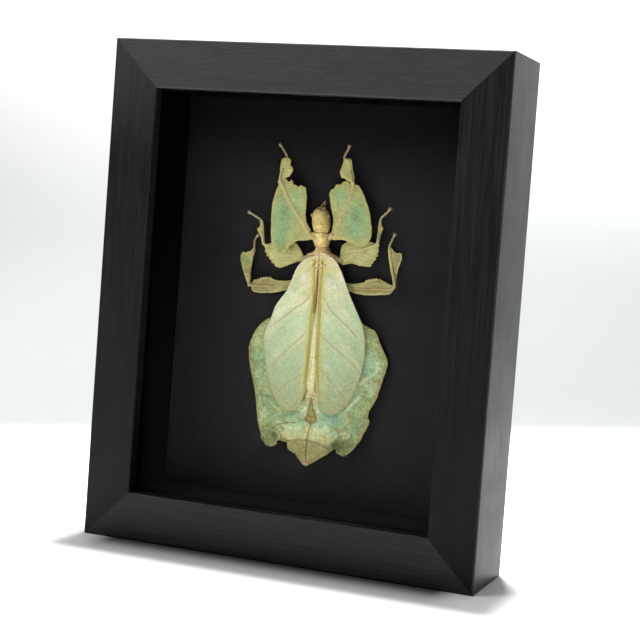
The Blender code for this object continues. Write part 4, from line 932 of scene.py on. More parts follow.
abdomen = {
    "thick": 0.55,
    "core": 1.2,  # extra thickness along the middle
    "coreReach": 8.0, "coreRim": 2.0,
    "waves": [(0.09, 2.4, 22), (0.045, 0.9, 23)],  # rise, size and seed
    "columns": 200,
    "rows": 220,
    "outline": [
        ([(4.8, 84.6), (1.4, 84.8)], 0),
        ([(-2.1, 84.6), (-3.4, 80.5), (-6.2, 76.5), (-11.0, 72.8), (-15.1, 70.9), (-16.5, 70.0),
          (-18.1, 68.6), (-19.6, 66.6), (-20.6, 64.2), (-21.3, 61.6), (-21.1, 59.1), (-20.7, 56.6),
          (-19.6, 52.9), (-18.3, 48.6), (-17.6, 44.9), (-16.8, 40.6), (-15.9, 36.9), (-14.6, 33.8),
          (-13.2, 31.9), (-11.6, 31.0), (-10.2, 31.3)], 0),
        ([(-9.0, 32.1), (-8.8, 33.2)], 0),
        ([(-8.2, 33.4), (-7.2, 33.2)], 0),
        ([(-5.75, 33.0), (-5.5, 31.9), (-5.3, 31.0), (-4.1, 30.3), (-2.7, 29.8), (-1.8, 28.7),
          (-0.6, 27.5), (0.2, 26.8), (1.2, 26.5), (2.4, 27.3), (4.1, 28.4), (6.1, 29.7),
          (8.1, 31.2)], 0),
        ([(9.3, 32.3), (10.4, 32.8)], 0),
        ([(11.2, 31.7), (13.2, 31.1), (14.6, 31.7), (15.9, 32.9), (17.1, 34.4), (18.3, 36.6),
          (19.3, 39.2), (20.2, 41.2), (20.55, 42.5), (20.05, 43.7), (20.4, 46.1), (22.1, 49.6),
          (23.1, 53.2), (23.8, 55.9), (24.6, 58.9), (24.85, 61.8), (23.3, 64.4), (22.0, 66.8),
          (20.3, 70.1), (17.9, 71.2), (12.6, 74.0), (8.6, 77.5), (6.2, 80.5)], 0),
    ],
    "corners": [(-18.1, 68.6), (-13.2, 31.9), (14.6, 31.7), (20.3, 70.1)],
    "ridges": [  # line, half width, rise and how pale, as a painted highlight on the crest
        ([(-13.4, 36.8), (-10.5, 36.3), (-9.3, 36.1), (-8.3, 35.2), (-8.1, 34.4),
          (-8.9, 33.1)], 0.75, 0.8, 0.5),
        ([(-14.6, 33.8), (-13.5, 31.9), (-12.2, 31.5), (-10.7, 31.8), (-9.3, 32.4)], 0.6, 0.8, 1.0),
        ([(9.4, 35.0), (10.5, 36.4), (11.2, 37.4), (13.3, 38.1), (15.0, 37.6),
          (14.0, 36.7)], 0.8, 0.75, 0.9),
        ([(11.2, 32.2), (13.3, 31.6), (15.2, 32.4), (16.5, 33.8), (17.4, 35.6)], 0.8, 0.8, 0.6),
        ([(22.4, 59.0), (20.6, 56.8), (18.9, 55.6), (16.9, 53.6)], 0.9, 0.3, 0.8),
        ([(17.0, 49.6), (15.3, 47.6), (13.4, 45.6), (11.0, 43.4)], 0.8, 0.25, 0.9),
        ([(-9.8, 39.3), (-6.6, 38.2), (-3.8, 37.8), (-1.6, 38.4)], 0.9, 0.2, 0.7),
        ([(4.2, 38.4), (6.8, 38.3), (9.0, 37.6)], 0.9, 0.2, 0.6),
    ],
    "valleys": [  # line, half width, depth and how dark; the last three are painted shadows of the wing rims
        ([(-10.9, 37.2), (-9.1, 38.3), (-6.8, 39.0), (-3.0, 39.6)], 0.2, 0.14, 0.75),
        ([(6.6, 36.6), (10.0, 38.9), (14.0, 39.4)], 0.22, 0.08, 0.25),
        ([(-6.0, 33.5), (-5.15, 33.7), (-2.6, 34.2), (0.85, 34.6), (3.3, 34.3), (6.05, 33.6),
          (8.4, 32.4)], 0.18, 0.10, 0.8),
        ([(2.0, 40.4), (1.98, 39.9), (1.72, 38.8), (1.5, 37.6), (1.13, 36.3), (1.0, 34.7),
          (0.93, 32.4), (0.86, 29.6), (1.1, 27.8)], 0.2, 0.16, 0.95),
        ([(1.4, 47.8), (1.11, 45.6), (0.84, 43.8), (0.51, 42.0), (0.05, 40.9)], 0.24, 0.10, 0.85),
        ([(1.55, 47.4), (2.0, 45.7), (2.5, 44.0), (3.1, 42.3), (3.7, 41.2)], 0.24, 0.10, 0.85),
        ([(0.1, 40.7), (1.1, 40.2), (2.2, 40.1), (3.6, 40.8)], 0.28, 0.10, 0.85),
        ([(0.8, 42.3), (2.0, 42.0), (2.7, 42.2)], 0.2, 0.05, 0.7),
        ([(1.3, 48.6), (2.9, 48.7)], 0.2, 0.06, 0.75),
        ([(1.2, 47.7), (2.5, 47.6)], 0.18, 0.06, 0.75),
        ([(0.95, 59.5), (0.92, 56.5), (0.88, 53.0)], 0.13, 0.03, 0.65),
        ([(-14.6, 35.4), (-12.0, 34.6), (-10.2, 34.9)], 0.5, 0.1, 0.35),
        ([(13.0, 34.9), (14.6, 34.4), (16.2, 35.0)], 0.7, 0.1, 0.4),
        ([(20.2, 43.4), (18.4, 43.6), (16.6, 42.8)], 0.25, 0.10, 0.35),
        ([(-17.8, 46.6), (-14.4, 46.9), (-11.6, 46.4)], 0.25, 0.10, 0.35),
        ([(-20.9, 57.5), (-18.6, 57.0), (-16.4, 57.4)], 0.25, 0.08, 0.3),
        ([(23.9, 56.8), (21.6, 54.9), (19.2, 54.2)], 0.3, 0.12, 0.35),
        # Painted shadows of the wing rims on the abdomen
        ([(-12.6, 48.4), (-11.4, 46.2), (-9.4, 44.0), (-7.2, 42.8), (-4.6, 42.5),
          (-2.6, 43.4)], 0.42, 0.05, 0.34),
        ([(4.0, 45.8), (5.2, 43.9), (7.4, 42.8), (10.2, 43.4), (12.9, 45.8),
          (14.6, 48.6)], 0.42, 0.05, 0.4),
        ([(14.6, 48.6), (16.1, 51.7), (17.3, 55.6), (18.0, 59.4), (18.3, 63.7),
          (18.0, 67.4)], 0.5, 0.04, 0.3),
    ],
    "hollows": [(1.3, 50.0, 1.9, 0.65), (-11.0, 34.0, 1.5, -0.7), (10.8, 34.3, 1.6, -0.8),
                (-9.6, 33.6, 0.9, -0.4)],
    "stripX": 1.3, "stripTop": 4.42,
    "stripHalf": [(84.0, 1.4), (66.0, 1.6), (57.0, 1.6), (52.0, 1.6), (49.6, 1.4)],  # at each z
    "stripEnd": (49.4, 51.6),
    "stripSlope": 0.45,  # width of its sloping side,
    "stripPower": 0.7,  # which this makes rounder
    "stripCamber": 0.05,
    "stripEdge": (0.55, 0.9), "stripSharp": 1.6,  # in its colour
    "stripThick": 1.0,
    "stripShown": 76.0,  # above it the wings cover the strip
    "spearEdge": 0.15, "spearEnds": (40.4, 47.6),
    "spearLeft": [(1.4, 47.6), (1.11, 45.6), (0.84, 43.8), (0.51, 42.0), (0.05, 40.6)],
    "spearRight": [(1.5, 47.6), (2.0, 45.7), (2.5, 44.0), (3.1, 42.3), (3.7, 40.6)],
    "tipLine": [(-6.2, 33.4), (-5.15, 33.65), (-2.6, 34.15), (0.85, 34.6), (3.3, 34.3),
                (6.05, 33.65), (8.8, 32.2)],
    "tipStep": 0.30, "tipEdge": 0.2, "tipPast": 0.3,
    "ribs": [(60.0, 6.5), (52.0, 6.0), (45.0, 5.5), (39.6, 3.5)],  # z at the middle, and its fall
    "ribDepth": 0.10, "ribHalf": 0.4, "ribFrom": 0.5,
    "teal": [(7.4, 41.3, 2.4, 1.5), (4.9, 42.0, 1.8, 0.9), (10.2, 41.7, 1.8, 0.9),
             (14.4, 50.4, 2.4, 0.9), (18.6, 58.6, 1.8, 0.8), (20.0, 62.8, 1.8, 0.5),
             (-3.2, 42.2, 2.0, 0.7), (-6.0, 41.4, 1.8, 0.6), (12.0, 45.0, 1.8, 0.6),
             (-18.4, 57.4, 1.8, 0.5), (-16.0, 52.0, 2.0, 0.4), (2.0, 37.4, 2.2, 0.4),
             (5.5, 31.9, 1.4, 0.5), (16.6, 40.4, 1.6, 0.4)],
    "pale": [(-3.6, 37.6, 3.0, 0.9), (6.4, 38.6, 2.6, 0.8), (3.0, 37.4, 1.8, 0.6),
             (-0.6, 44.2, 1.5, 0.8), (3.9, 44.4, 1.5, 0.8), (20.6, 53.0, 2.2, 0.5),
             (21.4, 60.2, 2.2, 0.5), (-18.8, 63.6, 2.2, 0.5), (-14.2, 40.0, 1.8, 0.4)],
    "yellow": [(-5.0, 34.8, 1.5, 0.9), (-7.2, 35.0, 1.2, 0.6), (-2.5, 35.4, 1.6, 0.7),
               (0.2, 35.9, 1.2, 1.0), (2.6, 35.9, 1.2, 0.9), (1.2, 37.4, 0.9, 0.9),
               (6.4, 35.4, 2.0, 0.9), (8.6, 35.4, 1.3, 0.6), (12.9, 37.5, 1.2, 0.7),
               (-13.8, 31.9, 0.9, 0.7), (0.5, 38.2, 0.8, 0.8), (2.9, 38.4, 0.8, 0.6)],
    "cream": [(1.7, 49.4, 1.5, 1.2), (0.5, 48.6, 0.8, 0.8), (3.2, 48.5, 0.9, 0.8),
              (0.3, 46.6, 0.8, 0.7), (2.9, 46.6, 0.8, 0.7), (-0.3, 44.4, 0.7, 0.7),
              (3.6, 44.6, 0.7, 0.7), (-0.8, 42.2, 0.8, 0.7), (4.4, 42.2, 0.8, 0.7),
              (0.2, 39.9, 0.6, 0.9), (3.9, 40.2, 0.6, 0.9)],
    "shade": [(-10.6, 34.5, 1.3, 0.9), (9.8, 33.8, 1.7, 0.75), (11.6, 34.0, 1.9, 0.5),
              (-6.6, 33.9, 0.7, 0.6), (-12.8, 34.0, 2.2, 0.25), (13.6, 34.0, 2.4, 0.6)],
    "pinkTip": [(0.3, 27.4, 0.7, 1.0), (1.3, 27.1, 0.6, 0.9), (-5.2, 32.6, 0.4, 0.8)],
    "colours": {
        "leaf": (0.42, 0.50, 0.225),
        "deep": (0.27, 0.30, 0.115),
        "teal": (0.235, 0.44, 0.285),
        "pale": (0.66, 0.82, 0.50),
        "yellow": (0.78, 0.70, 0.32),
        "olive": (0.30, 0.25, 0.085),
        "rim": (0.40, 0.30, 0.115),
        "strip": (0.77, 0.70, 0.38),
        "cream": (0.76, 0.61, 0.33),
        "spear": (0.36, 0.27, 0.075),
        "brown": (0.12, 0.06, 0.02),
        "tip": (0.41, 0.31, 0.105),
        "pink": (0.66, 0.42, 0.24),
        "shade": (0.085, 0.105, 0.035),
    },
}


def abdomenSolid(chance):
    # The roof with its ridges, valleys, hollows and the raised pale strip along its middle
    loop = outline(abdomen["outline"], chance, sway=0.09)
    x, z = leafGrid(loop, abdomen["corners"], abdomen["columns"], abdomen["rows"])
    rim = rimDistance(x, z, loop)
    away = np.clip(np.abs(x - midLine) / roof["reach"], 0, 1)
    height = roofHeight(x, z) + sum(
        rise * hills(x, z, size, seed) for rise, size, seed in abdomen["waves"])
    outer = ramp(away, 0, abdomen["ribFrom"])
    for middle, fall in abdomen["ribs"]:
        line = middle - fall * ((x - midLine) / roof["reach"]) ** 2
        height -= abdomen["ribDepth"] * soft(z - line, abdomen["ribHalf"]) * outer
    ridge, valley = np.zeros(x.shape), np.zeros(x.shape)
    for line, half, rise, share in abdomen["ridges"]:
        hill = bell(nearLine(x, z, line), half)
        height += rise * hill
        ridge = np.maximum(ridge, share * hill)
    for line, half, depth, share in abdomen["valleys"]:
        ditch = soft(nearLine(x, z, line), half)
        height -= depth * ditch
        valley = np.maximum(valley, share * ditch)
    height += glow(x, z, abdomen["hollows"])
    halves = np.array(abdomen["stripHalf"])[::-1]
    half = np.interp(z, halves[:, 0], halves[:, 1])
    beside = np.abs(x - abdomen["stripX"])
    strip = ramp(half - beside, 0, abdomen["stripSlope"]) * ramp(z, *abdomen["stripEnd"])
    crown = abdomen["stripTop"] - abdomen["stripCamber"] * (beside / half) ** 2
    height += (crown - height) * strip ** abdomen["stripPower"]
    (foot, top), edge = abdomen["spearEnds"], abdomen["spearEdge"]
    spear = (ramp(x - sideAt(z, abdomen["spearLeft"]), 0, edge)
             * ramp(sideAt(z, abdomen["spearRight"]) - x, 0, edge) * (z < top) * (z > foot))
    seam = np.array(abdomen["tipLine"])
    within = (x > seam[0, 0] - abdomen["tipPast"]) & (x < seam[-1, 0] + abdomen["tipPast"])
    tip = ramp((np.interp(x, seam[:, 0], seam[:, 1]) - z) * within, 0, abdomen["tipEdge"])
    height -= abdomen["tipStep"] * tip
    core = np.clip(1 - ((x - midLine) / abdomen["coreReach"]) ** 2, 0, 1)
    core *= ramp(rim, 0, abdomen["coreRim"])
    thick = (abdomen["thick"] * thinRim(rim, 0.35) + abdomen["core"] * core
             + abdomen["stripThick"] * strip)
    marks = {
        "rim": rim,
        "strip": np.clip(strip * abdomen["stripSharp"], 0, 1) * (z < abdomen["stripShown"]),
        "stripEdge": ramp(beside, *abdomen["stripEdge"]),
        "spear": spear,
        "valley": valley,
        "ridge": ridge,
        "tip": tip,
    }
    for name in ("teal", "pale", "yellow", "cream", "shade", "pinkTip"):
        marks[name] = glow(x, z, abdomen[name])
    return leafSolid(x, z, height, thick, marks)


def abdomenSkin():
    look = abdomen["colours"]
    paint = Paint("abdomenSkin")
    slow, middling = paint.clouds(7.0, 3.0), paint.clouds(2.0, 3.0, 0.65)
    fine = paint.clouds(0.6, 3.0, 0.7)
    veined = paint.clouds(1.3, 3.0, 0.7, twist=1.2)
    net = paint.cells(0.95, stretch=(1.3, 1.0, 1.0))
    margin = paint.mark("rim") + (middling - 0.5) * 2.4
    stripColour = paint.mix(paint.mark("stripEdge") * 0.55, look["strip"], look["yellow"])
    colour = paint.mix(middling.rise(0.36, 0.62), look["deep"], look["leaf"])
    colour = paint.layered(colour, [
        (slow.rise(0.5, 0.68) * 0.5, look["teal"]),
        ((paint.mark("teal") * (0.35 + middling)).least(0.95), look["teal"]),
        ((paint.mark("pale") * (0.35 + middling)).least(0.9), look["pale"]),
        # Painted highlight along the crests of the ridges
        ((paint.mark("ridge") * (0.3 + fine)).least(0.9), look["pale"]),
        ((paint.mark("yellow") * (0.3 + middling)).least(0.9), look["yellow"]),
        ((paint.mark("cream") * (0.4 + fine)).least(0.95), look["cream"]),
        (paint.mark("tip") * 0.6, look["tip"]),
        (veined.rise(0.52, 0.66) * 0.3, look["olive"]),
        (fine.rise(0.55, 0.72) * 0.35, look["olive"]),
        (net.rise(0.14, 0.0) * 0.2, look["deep"]),
        (margin.rise(1.8, 0.2) * 0.5, look["olive"]),
        (paint.mark("rim").rise(0.42, 0.12) * 0.75, look["rim"]),
        (paint.mark("strip"), stripColour),
        (paint.mark("spear") * 0.85, look["spear"]),
        (paint.mark("pinkTip").least(1.0) * 0.8, look["pink"]),
        (paint.mark("shade").least(1.0) * 0.85, look["shade"]),
        # Dark lines of the skin, and the painted shadows of the wing rims along the last valleys
        (paint.mark("valley") * (0.6 + fine * 0.6).least(1.0), look["brown"]),
    ])
    relief = net.rise(0.0, 0.22) * 0.4 + fine * 0.6
    return cuticle(paint, colour, 0.3, 0.03, 0.48, paint.bump(relief, 0.08), 0.75)


def buildAbdomen():
    addPiece("abdomen_leaf", abdomenSolid(np.random.default_rng(5)), abdomenSkin(),
             ["abdomen", "abdomen_tip"])
    print("abdomen built")


# Head and thorax: one skin from the waist to the face, creased between its lengths

body = {
    "sides": 72,
    "rows": 280,
    "power": 2.6,  # 2 is an ellipse, more is squarer
    "stations": [  # z, middle x, half width, lowest and highest height over the board
        (82.6, 1.35, 2.6, 1.0, 2.9), (83.6, 1.35, 3.6, 0.5, 3.4), (85.0, 1.35, 3.9, 0.3, 3.8),
        (88.0, 1.35, 4.2, 0.3, 4.0), (90.2, 1.4, 4.8, 0.3, 4.2), (91.2, 1.5, 5.1, 0.3, 4.5),
        (91.9, 1.5, 4.9, 0.3, 4.75), (92.5, 1.55, 3.9, 0.3, 5.1), (92.85, 1.5, 2.9, 0.4, 5.25),
        (93.4, 1.5, 2.4, 0.6, 5.2), (93.9, 1.55, 2.15, 0.6, 5.1), (94.4, 1.45, 1.95, 0.9, 4.75),
        (94.8, 1.1, 1.95, 1.0, 4.9), (95.5, 1.1, 2.2, 0.9, 5.25), (96.2, 1.05, 2.5, 0.8, 5.4),
        (97.0, 0.95, 2.85, 0.7, 5.5), (97.8, 0.85, 3.1, 0.7, 5.4), (98.5, 0.8, 3.2, 0.9, 5.15),
        (98.85, 0.8, 2.85, 1.2, 4.9), (99.05, 0.9, 2.3, 1.4, 4.8), (99.3, 0.95, 2.3, 1.4, 5.3),
        (99.9, 0.92, 2.5, 1.2, 5.9), (101.0, 0.85, 2.7, 1.0, 6.3), (102.5, 0.7, 2.75, 1.0, 6.3),
        (104.0, 0.5, 2.6, 1.3, 6.1), (104.9, 0.45, 2.35, 1.6, 5.7), (105.7, 0.38, 1.9, 2.0, 5.1),
        (106.2, 0.33, 1.45, 2.4, 4.6), (106.6, 0.35, 0.95, 2.8, 4.1), (106.8, 0.4, 0.45, 3.1, 3.8)],
    "warts": [(-3.1, 92.2, 0.5, 0.5), (-2.0, 92.5, 0.4, 0.4), (-3.6, 91.4, 0.4, 0.4),
              (-1.1, 93.0, 0.35, 0.3), (6.5, 92.3, 0.5, 0.5), (5.4, 92.8, 0.4, 0.4),
              (7.1, 91.6, 0.4, 0.4), (4.5, 93.3, 0.35, 0.3), (0.4, 92.6, 0.4, 0.25),
              (2.9, 92.7, 0.4, 0.25), (-1.6, 97.6, 0.4, 0.2), (3.6, 97.6, 0.4, 0.2),
              (-1.4, 104.9, 0.5, 0.25), (2.4, 105.0, 0.5, 0.25)],
    "neck": (97.0, 1.9),  # z and reach, in which the next two lie
    "neckAlong": (-0.22, 0.22),  # rise and half width
    "neckAcross": (-0.12, 0.22, 97.5, 0.1),  # rise, half width, z and bend
    "keel": (0.16, 0.5, 92.6, 1.2),  # rise, half width, z and reach
    "brow": (-0.10, 0.2, 102.0, 2.2),
    "faceFrom": (99.4, 100.6),
    "grainShare": 0.6, "faceSmooth": 0.32, "sideShare": 0.5,
    "grain": [(0.16, 0.85, 31), (0.09, 0.42, 32)],  # rise, size and seed
    "lumps": (0.6, 0.7, 33), "lumpsAt": 91.9, "lumpsReach": 1.1,
    "creases": [(98.98, 0.11, 0.03, 1.0), (94.5, 0.22, 0.05, 0.6)],  # z, from, to and strength
    "waist": (95.0, 94.4), "waistWide": (95.2, 94.6),
    "spots": {  # x, z, radius and strength
        # the neck spots are a painted highlight on the pronotum
        "neck": [(1.3, 96.6, 1.7, 1.0), (0.8, 98.2, 1.5, 1.0)],
        "brow": [(0.4, 104.2, 2.0, 1.0), (0.8, 100.6, 1.6, 1.0)],
        "shoulders": [(-2.2, 92.7, 1.4, 1.0), (5.2, 92.8, 1.3, 1.0)],
        "red": [(-2.7, 92.2, 1.2, 1.0), (5.7, 92.2, 1.3, 1.0), (1.4, 92.6, 0.9, 0.6),
                (3.4, 94.0, 1.0, 0.6)],
        "temple": [(2.3, 104.3, 0.9, 0.5)],
        "mouth": [(0.2, 106.3, 0.7, 1.0), (1.7, 106.4, 0.7, 1.0), (0.9, 105.6, 0.5, 0.6)],
        "lip": [(-0.8, 106.2, 0.7, 0.7)],
    },
    "colours": {
        "beige": (0.66, 0.49, 0.175),
        "pale": (0.86, 0.74, 0.38),
        "ochre": (0.54, 0.37, 0.11),
        "pink": (0.68, 0.46, 0.23),
        "red": (0.40, 0.15, 0.085),
        "dark": (0.12, 0.065, 0.03),
        "grey": (0.30, 0.22, 0.10),
    },
}


def bodySolid():
    # Each ring is a squared ellipse, |cos|^(2/power) wide and |sin|^(2/power) tall, whose size
    # follows the stations; grooves, warts and grain push its front side in and out
    stations = evenly(curveThrough(body["stations"]), body["rows"])
    z, middle, half, low, high = (stations[:, k][:, None] for k in range(5))
    turn = (np.arange(body["sides"]) * 2 * math.pi / body["sides"])[None]
    wide = np.sign(np.cos(turn)) * np.abs(np.cos(turn)) ** (2 / body["power"])
    tall = np.sign(np.sin(turn)) * np.abs(np.sin(turn)) ** (2 / body["power"])
    x = middle + half * wide
    height = (low + high) / 2 + (high - low) / 2 * tall
    z = np.broadcast_to(z, x.shape)
    up = np.clip(tall, 0, 1)
    aside = x - middle
    at, reach = body["neck"]
    neck = np.exp(-((z - at) / reach) ** 4)
    rise, width = body["neckAlong"]
    push = rise * neck * soft(aside, width)
    rise, width, at, bend = body["neckAcross"]
    push = push + rise * neck * soft(z - at - bend * aside ** 2, width)
    onFace = ramp(z, *body["faceFrom"])
    for name, share in (("keel", 1.0), ("brow", onFace)):
        rise, width, at, reach = body[name]
        push = push + rise * share * soft(aside, width) * soft(z - at, reach)
    push = push + glow(x, z, body["warts"]) * up
    grain = sum(rise * hills(x, z, size, seed) for rise, size, seed in body["grain"])
    height = height + up * (push + grain * (body["grainShare"] - body["faceSmooth"] * onFace))
    rise, size, seed = body["lumps"]
    lumps = rise * hills(x, z, size, seed) * soft(z - body["lumpsAt"], body["lumpsReach"])
    x = x + wide * (grain * body["sideShare"] + lumps)
    height = height + up * lumps
    return loftSolid(overBoard(x, z, height), {"up": up, "across": x - middle})


def bodySkin():
    look = body["colours"]
    paint = Paint("bodySkin")
    z, across = paint.axis("Z"), paint.mark("across")
    x = paint.axis("X")
    middling, fine = paint.clouds(1.4, 3.0), paint.clouds(0.42, 3.0, 0.65)

    def spots(name):
        # The strongest of the soft round spots of one name
        strongest = 0.0
        for atX, atZ, radius, strength in body["spots"][name]:
            spot = (((x - atX) ** 2 + (z - atZ) ** 2) ** 0.5).rise(radius, radius * 0.25)
            strongest = (spot * strength).most(strongest)
        return strongest
    waist = z.rise(*body["waistWide"])
    creases = 0.0
    for at, outer, inner, strength in body["creases"]:
        creases = ((z - at).size().rise(outer, inner) * strength).most(creases)
    # Painted shade: the body greys towards both sides, the left more
    sides = across.rise(1.9, 2.9).most(across.rise(-1.5, -2.7) * 1.6) * 0.3
    colour = paint.mix(middling.rise(0.35, 0.7), look["ochre"], look["beige"])
    colour = paint.layered(colour, [
        (fine.rise(0.5, 0.7) * 0.45, look["pale"]),
        # Painted highlight on the pronotum
        (spots("neck") * 0.8, look["pale"]),
        (spots("brow") * 0.35, look["pale"]),
        (z.rise(*body["waist"]) * 0.85, look["pink"]),
        (fine.rise(0.48, 0.66) * waist * 0.75, look["pale"]),
        (fine.rise(0.46, 0.3) * waist * 0.6, look["red"]),
        (spots("shoulders") * 0.65, look["pale"]),
        (spots("red") * (fine * 0.9).least(0.7), look["red"]),
        # The temple's darker spot, and the painted shade of the sides
        (spots("temple") + sides, look["grey"]),
        (creases * 0.8, look["dark"]),
        (spots("mouth") * (0.4 + fine * 0.8), look["dark"]),
        (spots("lip"), look["pink"]),
    ])
    return cuticle(paint, colour, 0.28, 0.02, 0.72, paint.bump(fine, 0.05), 0.95)


def buildBody():
    addPiece("body_skin", bodySolid(), bodySkin(),
             ["head", "pronotum", "mesothorax", "metathorax"], crease=70.0)
    print("body built")


# Eyes, feelers and mouthparts

face = {
    "eyeX": 0.5, "eyeZ": 104.1, "eyeHeight": 4.5,
    "eyeSpread": 2.45,
    "eyeRadius": 0.7, "eyeRise": 0.6,
    "eyeTurn": (0.93, 0.22, 0.25),  # out, forward and up
    "eyeSides": 28, "eyeRings": 14, "eyeLift": (-20.0, 86.0),
    "feelers": {
        "left": [(0.1, 105.7, 3.9), (0.26, 106.7, 3.9), (0.6, 107.4, 3.8), (1.05, 108.1, 3.7),
                 (1.6, 108.8, 3.5)],
        "right": [(0.9, 106.0, 3.6), (1.1, 106.8, 3.5), (1.35, 107.5, 3.3), (1.5, 108.2, 3.0)],
    },
    "feelerRadius": 0.24,
    "feelerJoints": 8,
    "palps": [[(1.3, 105.2, 4.9), (1.75, 105.9, 4.8), (1.95, 106.7, 4.3)],
              [(-0.3, 105.3, 4.8), (-0.45, 106.0, 4.6), (-0.25, 106.7, 4.1)],
              [(0.5, 105.6, 5.0), (0.55, 106.3, 4.8), (0.7, 106.9, 4.3)]],
    "palpRadius": 0.3, "palpForm": (2, 0.12, 0.35, 12, 40),  # joints, swell, taper, sides and rings
    "eye": (0.42, 0.36, 0.20), "eyeDark": (0.17, 0.13, 0.06),
    "brown": (0.22, 0.115, 0.04), "light": (0.55, 0.42, 0.20),
}


def eyeSolid(side):
    # A low dome: rings close from the base to the top as the cosine of their lift
    base = overBoard(face["eyeX"] + side * face["eyeSpread"], face["eyeZ"], face["eyeHeight"])
    out, forward, up = face["eyeTurn"]
    axis = unit(np.array((side * out, -forward, up)))
    across = unit(np.cross(axis, (0.0, 1.0, 0.0)))
    other = np.cross(axis, across)
    sides = face["eyeSides"]
    turn = (np.arange(sides) * 2 * math.pi / sides)[None, :, None]
    lift = np.radians(np.linspace(*face["eyeLift"], face["eyeRings"]))[:, None, None]
    spoke = np.cos(turn) * across + np.sin(turn) * other
    rings = base + axis * face["eyeRise"] * np.sin(lift) + face["eyeRadius"] * np.cos(lift) * spoke
    return loftSolid(rings, {"lift": lift[..., 0]})


def beadedTube(points, radius, joints, swell=0.22, taper=0.25, sides=14, rings=90):
    # The radius swells towards the end of each joint as a rising wave, and narrows along the path
    path = evenly(curveThrough(points), rings)
    s = np.linspace(0, 1, rings)
    wave = (s * joints) % 1.0
    bulge = np.sin(wave * math.pi) ** 0.7 * (0.5 + 0.5 * wave)
    radii = radius * (1 - taper * s) * (1 - swell + 2 * swell * bulge)
    radii = roundedEnds(path, radii)
    marks = {"along": s[:, None], "joint": soft(np.minimum(wave, 1 - wave), 0.12)[:, None]}
    return loftSolid(tubeRings(path, radii, sides), marks)


def eyeSkin():
    # Tiny facets over a dull brown-green bead, darker round its foot
    paint = Paint("eyeSkin")
    facets = paint.cells(0.09, "F1")
    colour = paint.mix(paint.mark("lift").rise(0.1, 0.9), face["eyeDark"], face["eye"])
    return paint.finish(colour, 0.26, paint.bump(facets, 0.01), Coat_Weight=0.3)


def feelerSkin():
    paint = Paint("feelerSkin")
    fine = paint.clouds(0.3, 3.0)
    colour = paint.mix(paint.mark("along").rise(0.45, 0.95) * 0.8 + fine * 0.2, face["brown"],
                       face["light"])
    colour = paint.mix(paint.mark("joint") * 0.5, colour, face["brown"])
    return cuticle(paint, colour, 0.15, 0.015, 0.45)


def buildFace():
    eye, feeler = eyeSkin(), feelerSkin()
    for side, name in ((-1, "left"), (1, "right")):
        addPiece("eye_bead_" + name, eyeSolid(side), eye, ["eye_" + name])
        feelerTube = beadedTube(face["feelers"][name], face["feelerRadius"], face["feelerJoints"])
        addPiece("feeler_" + name, feelerTube, feeler, ["antenna_" + name], crease=75.0)
    palps = [beadedTube(line, face["palpRadius"], *face["palpForm"]) for line in face["palps"]]
    addPiece("mouthparts", joined(palps), feeler, crease=75.0)
    print("face built")


# Legs: a leaf-like femur and tibia with a raised shaft, and a jointed foot with two claws

legs = {
    "thick": 0.42,
    "footRadius": 0.32, "footTaper": 0.12, "footSwell": 0.16, "footJoints": 5, "footRings": 110,
    "clawRadius": 0.16, "clawTaper": 0.75, "clawLength": 0.95, "clawSpread": 48.0,
    "clawRoot": 0.4,  # how far back in the foot it starts
    "clawPath": [(0.45, 0.08), (0.85, -0.1), (1.0, -0.38)],  # share of its length, and rise
    "padTaper": 0.1, "padLength": 0.45, "padWide": 3.0,
    "claw": (0.48, 0.40, 0.24), "clawTip": (0.24, 0.17, 0.09),
    "femurGrid": (96, 110), "tibiaGrid": (48, 110),
    "waves": [(0.14, 2.6), (0.07, 1.0)],  # rise and size
    "creases": (0.05, 0.45, 3.0),  # rise, size across and size along
    "streaks": (0.35, 3.4),  # size across and size along
    "branchRise": 0.10, "branchHalf": 0.45, "branchColour": 0.28,
    "rimBend": 0.25, "rimReach": 0.8,
    "shaftThick": 0.3, "shaftColour": 0.72,
    "far": 9.0,  # stands for a distance at which a mark has no effect
    "rootRadius": 0.95, "rootTaper": 0.25,
    "kneeTaper": 0.1, "kneeRise": 0.05,
}

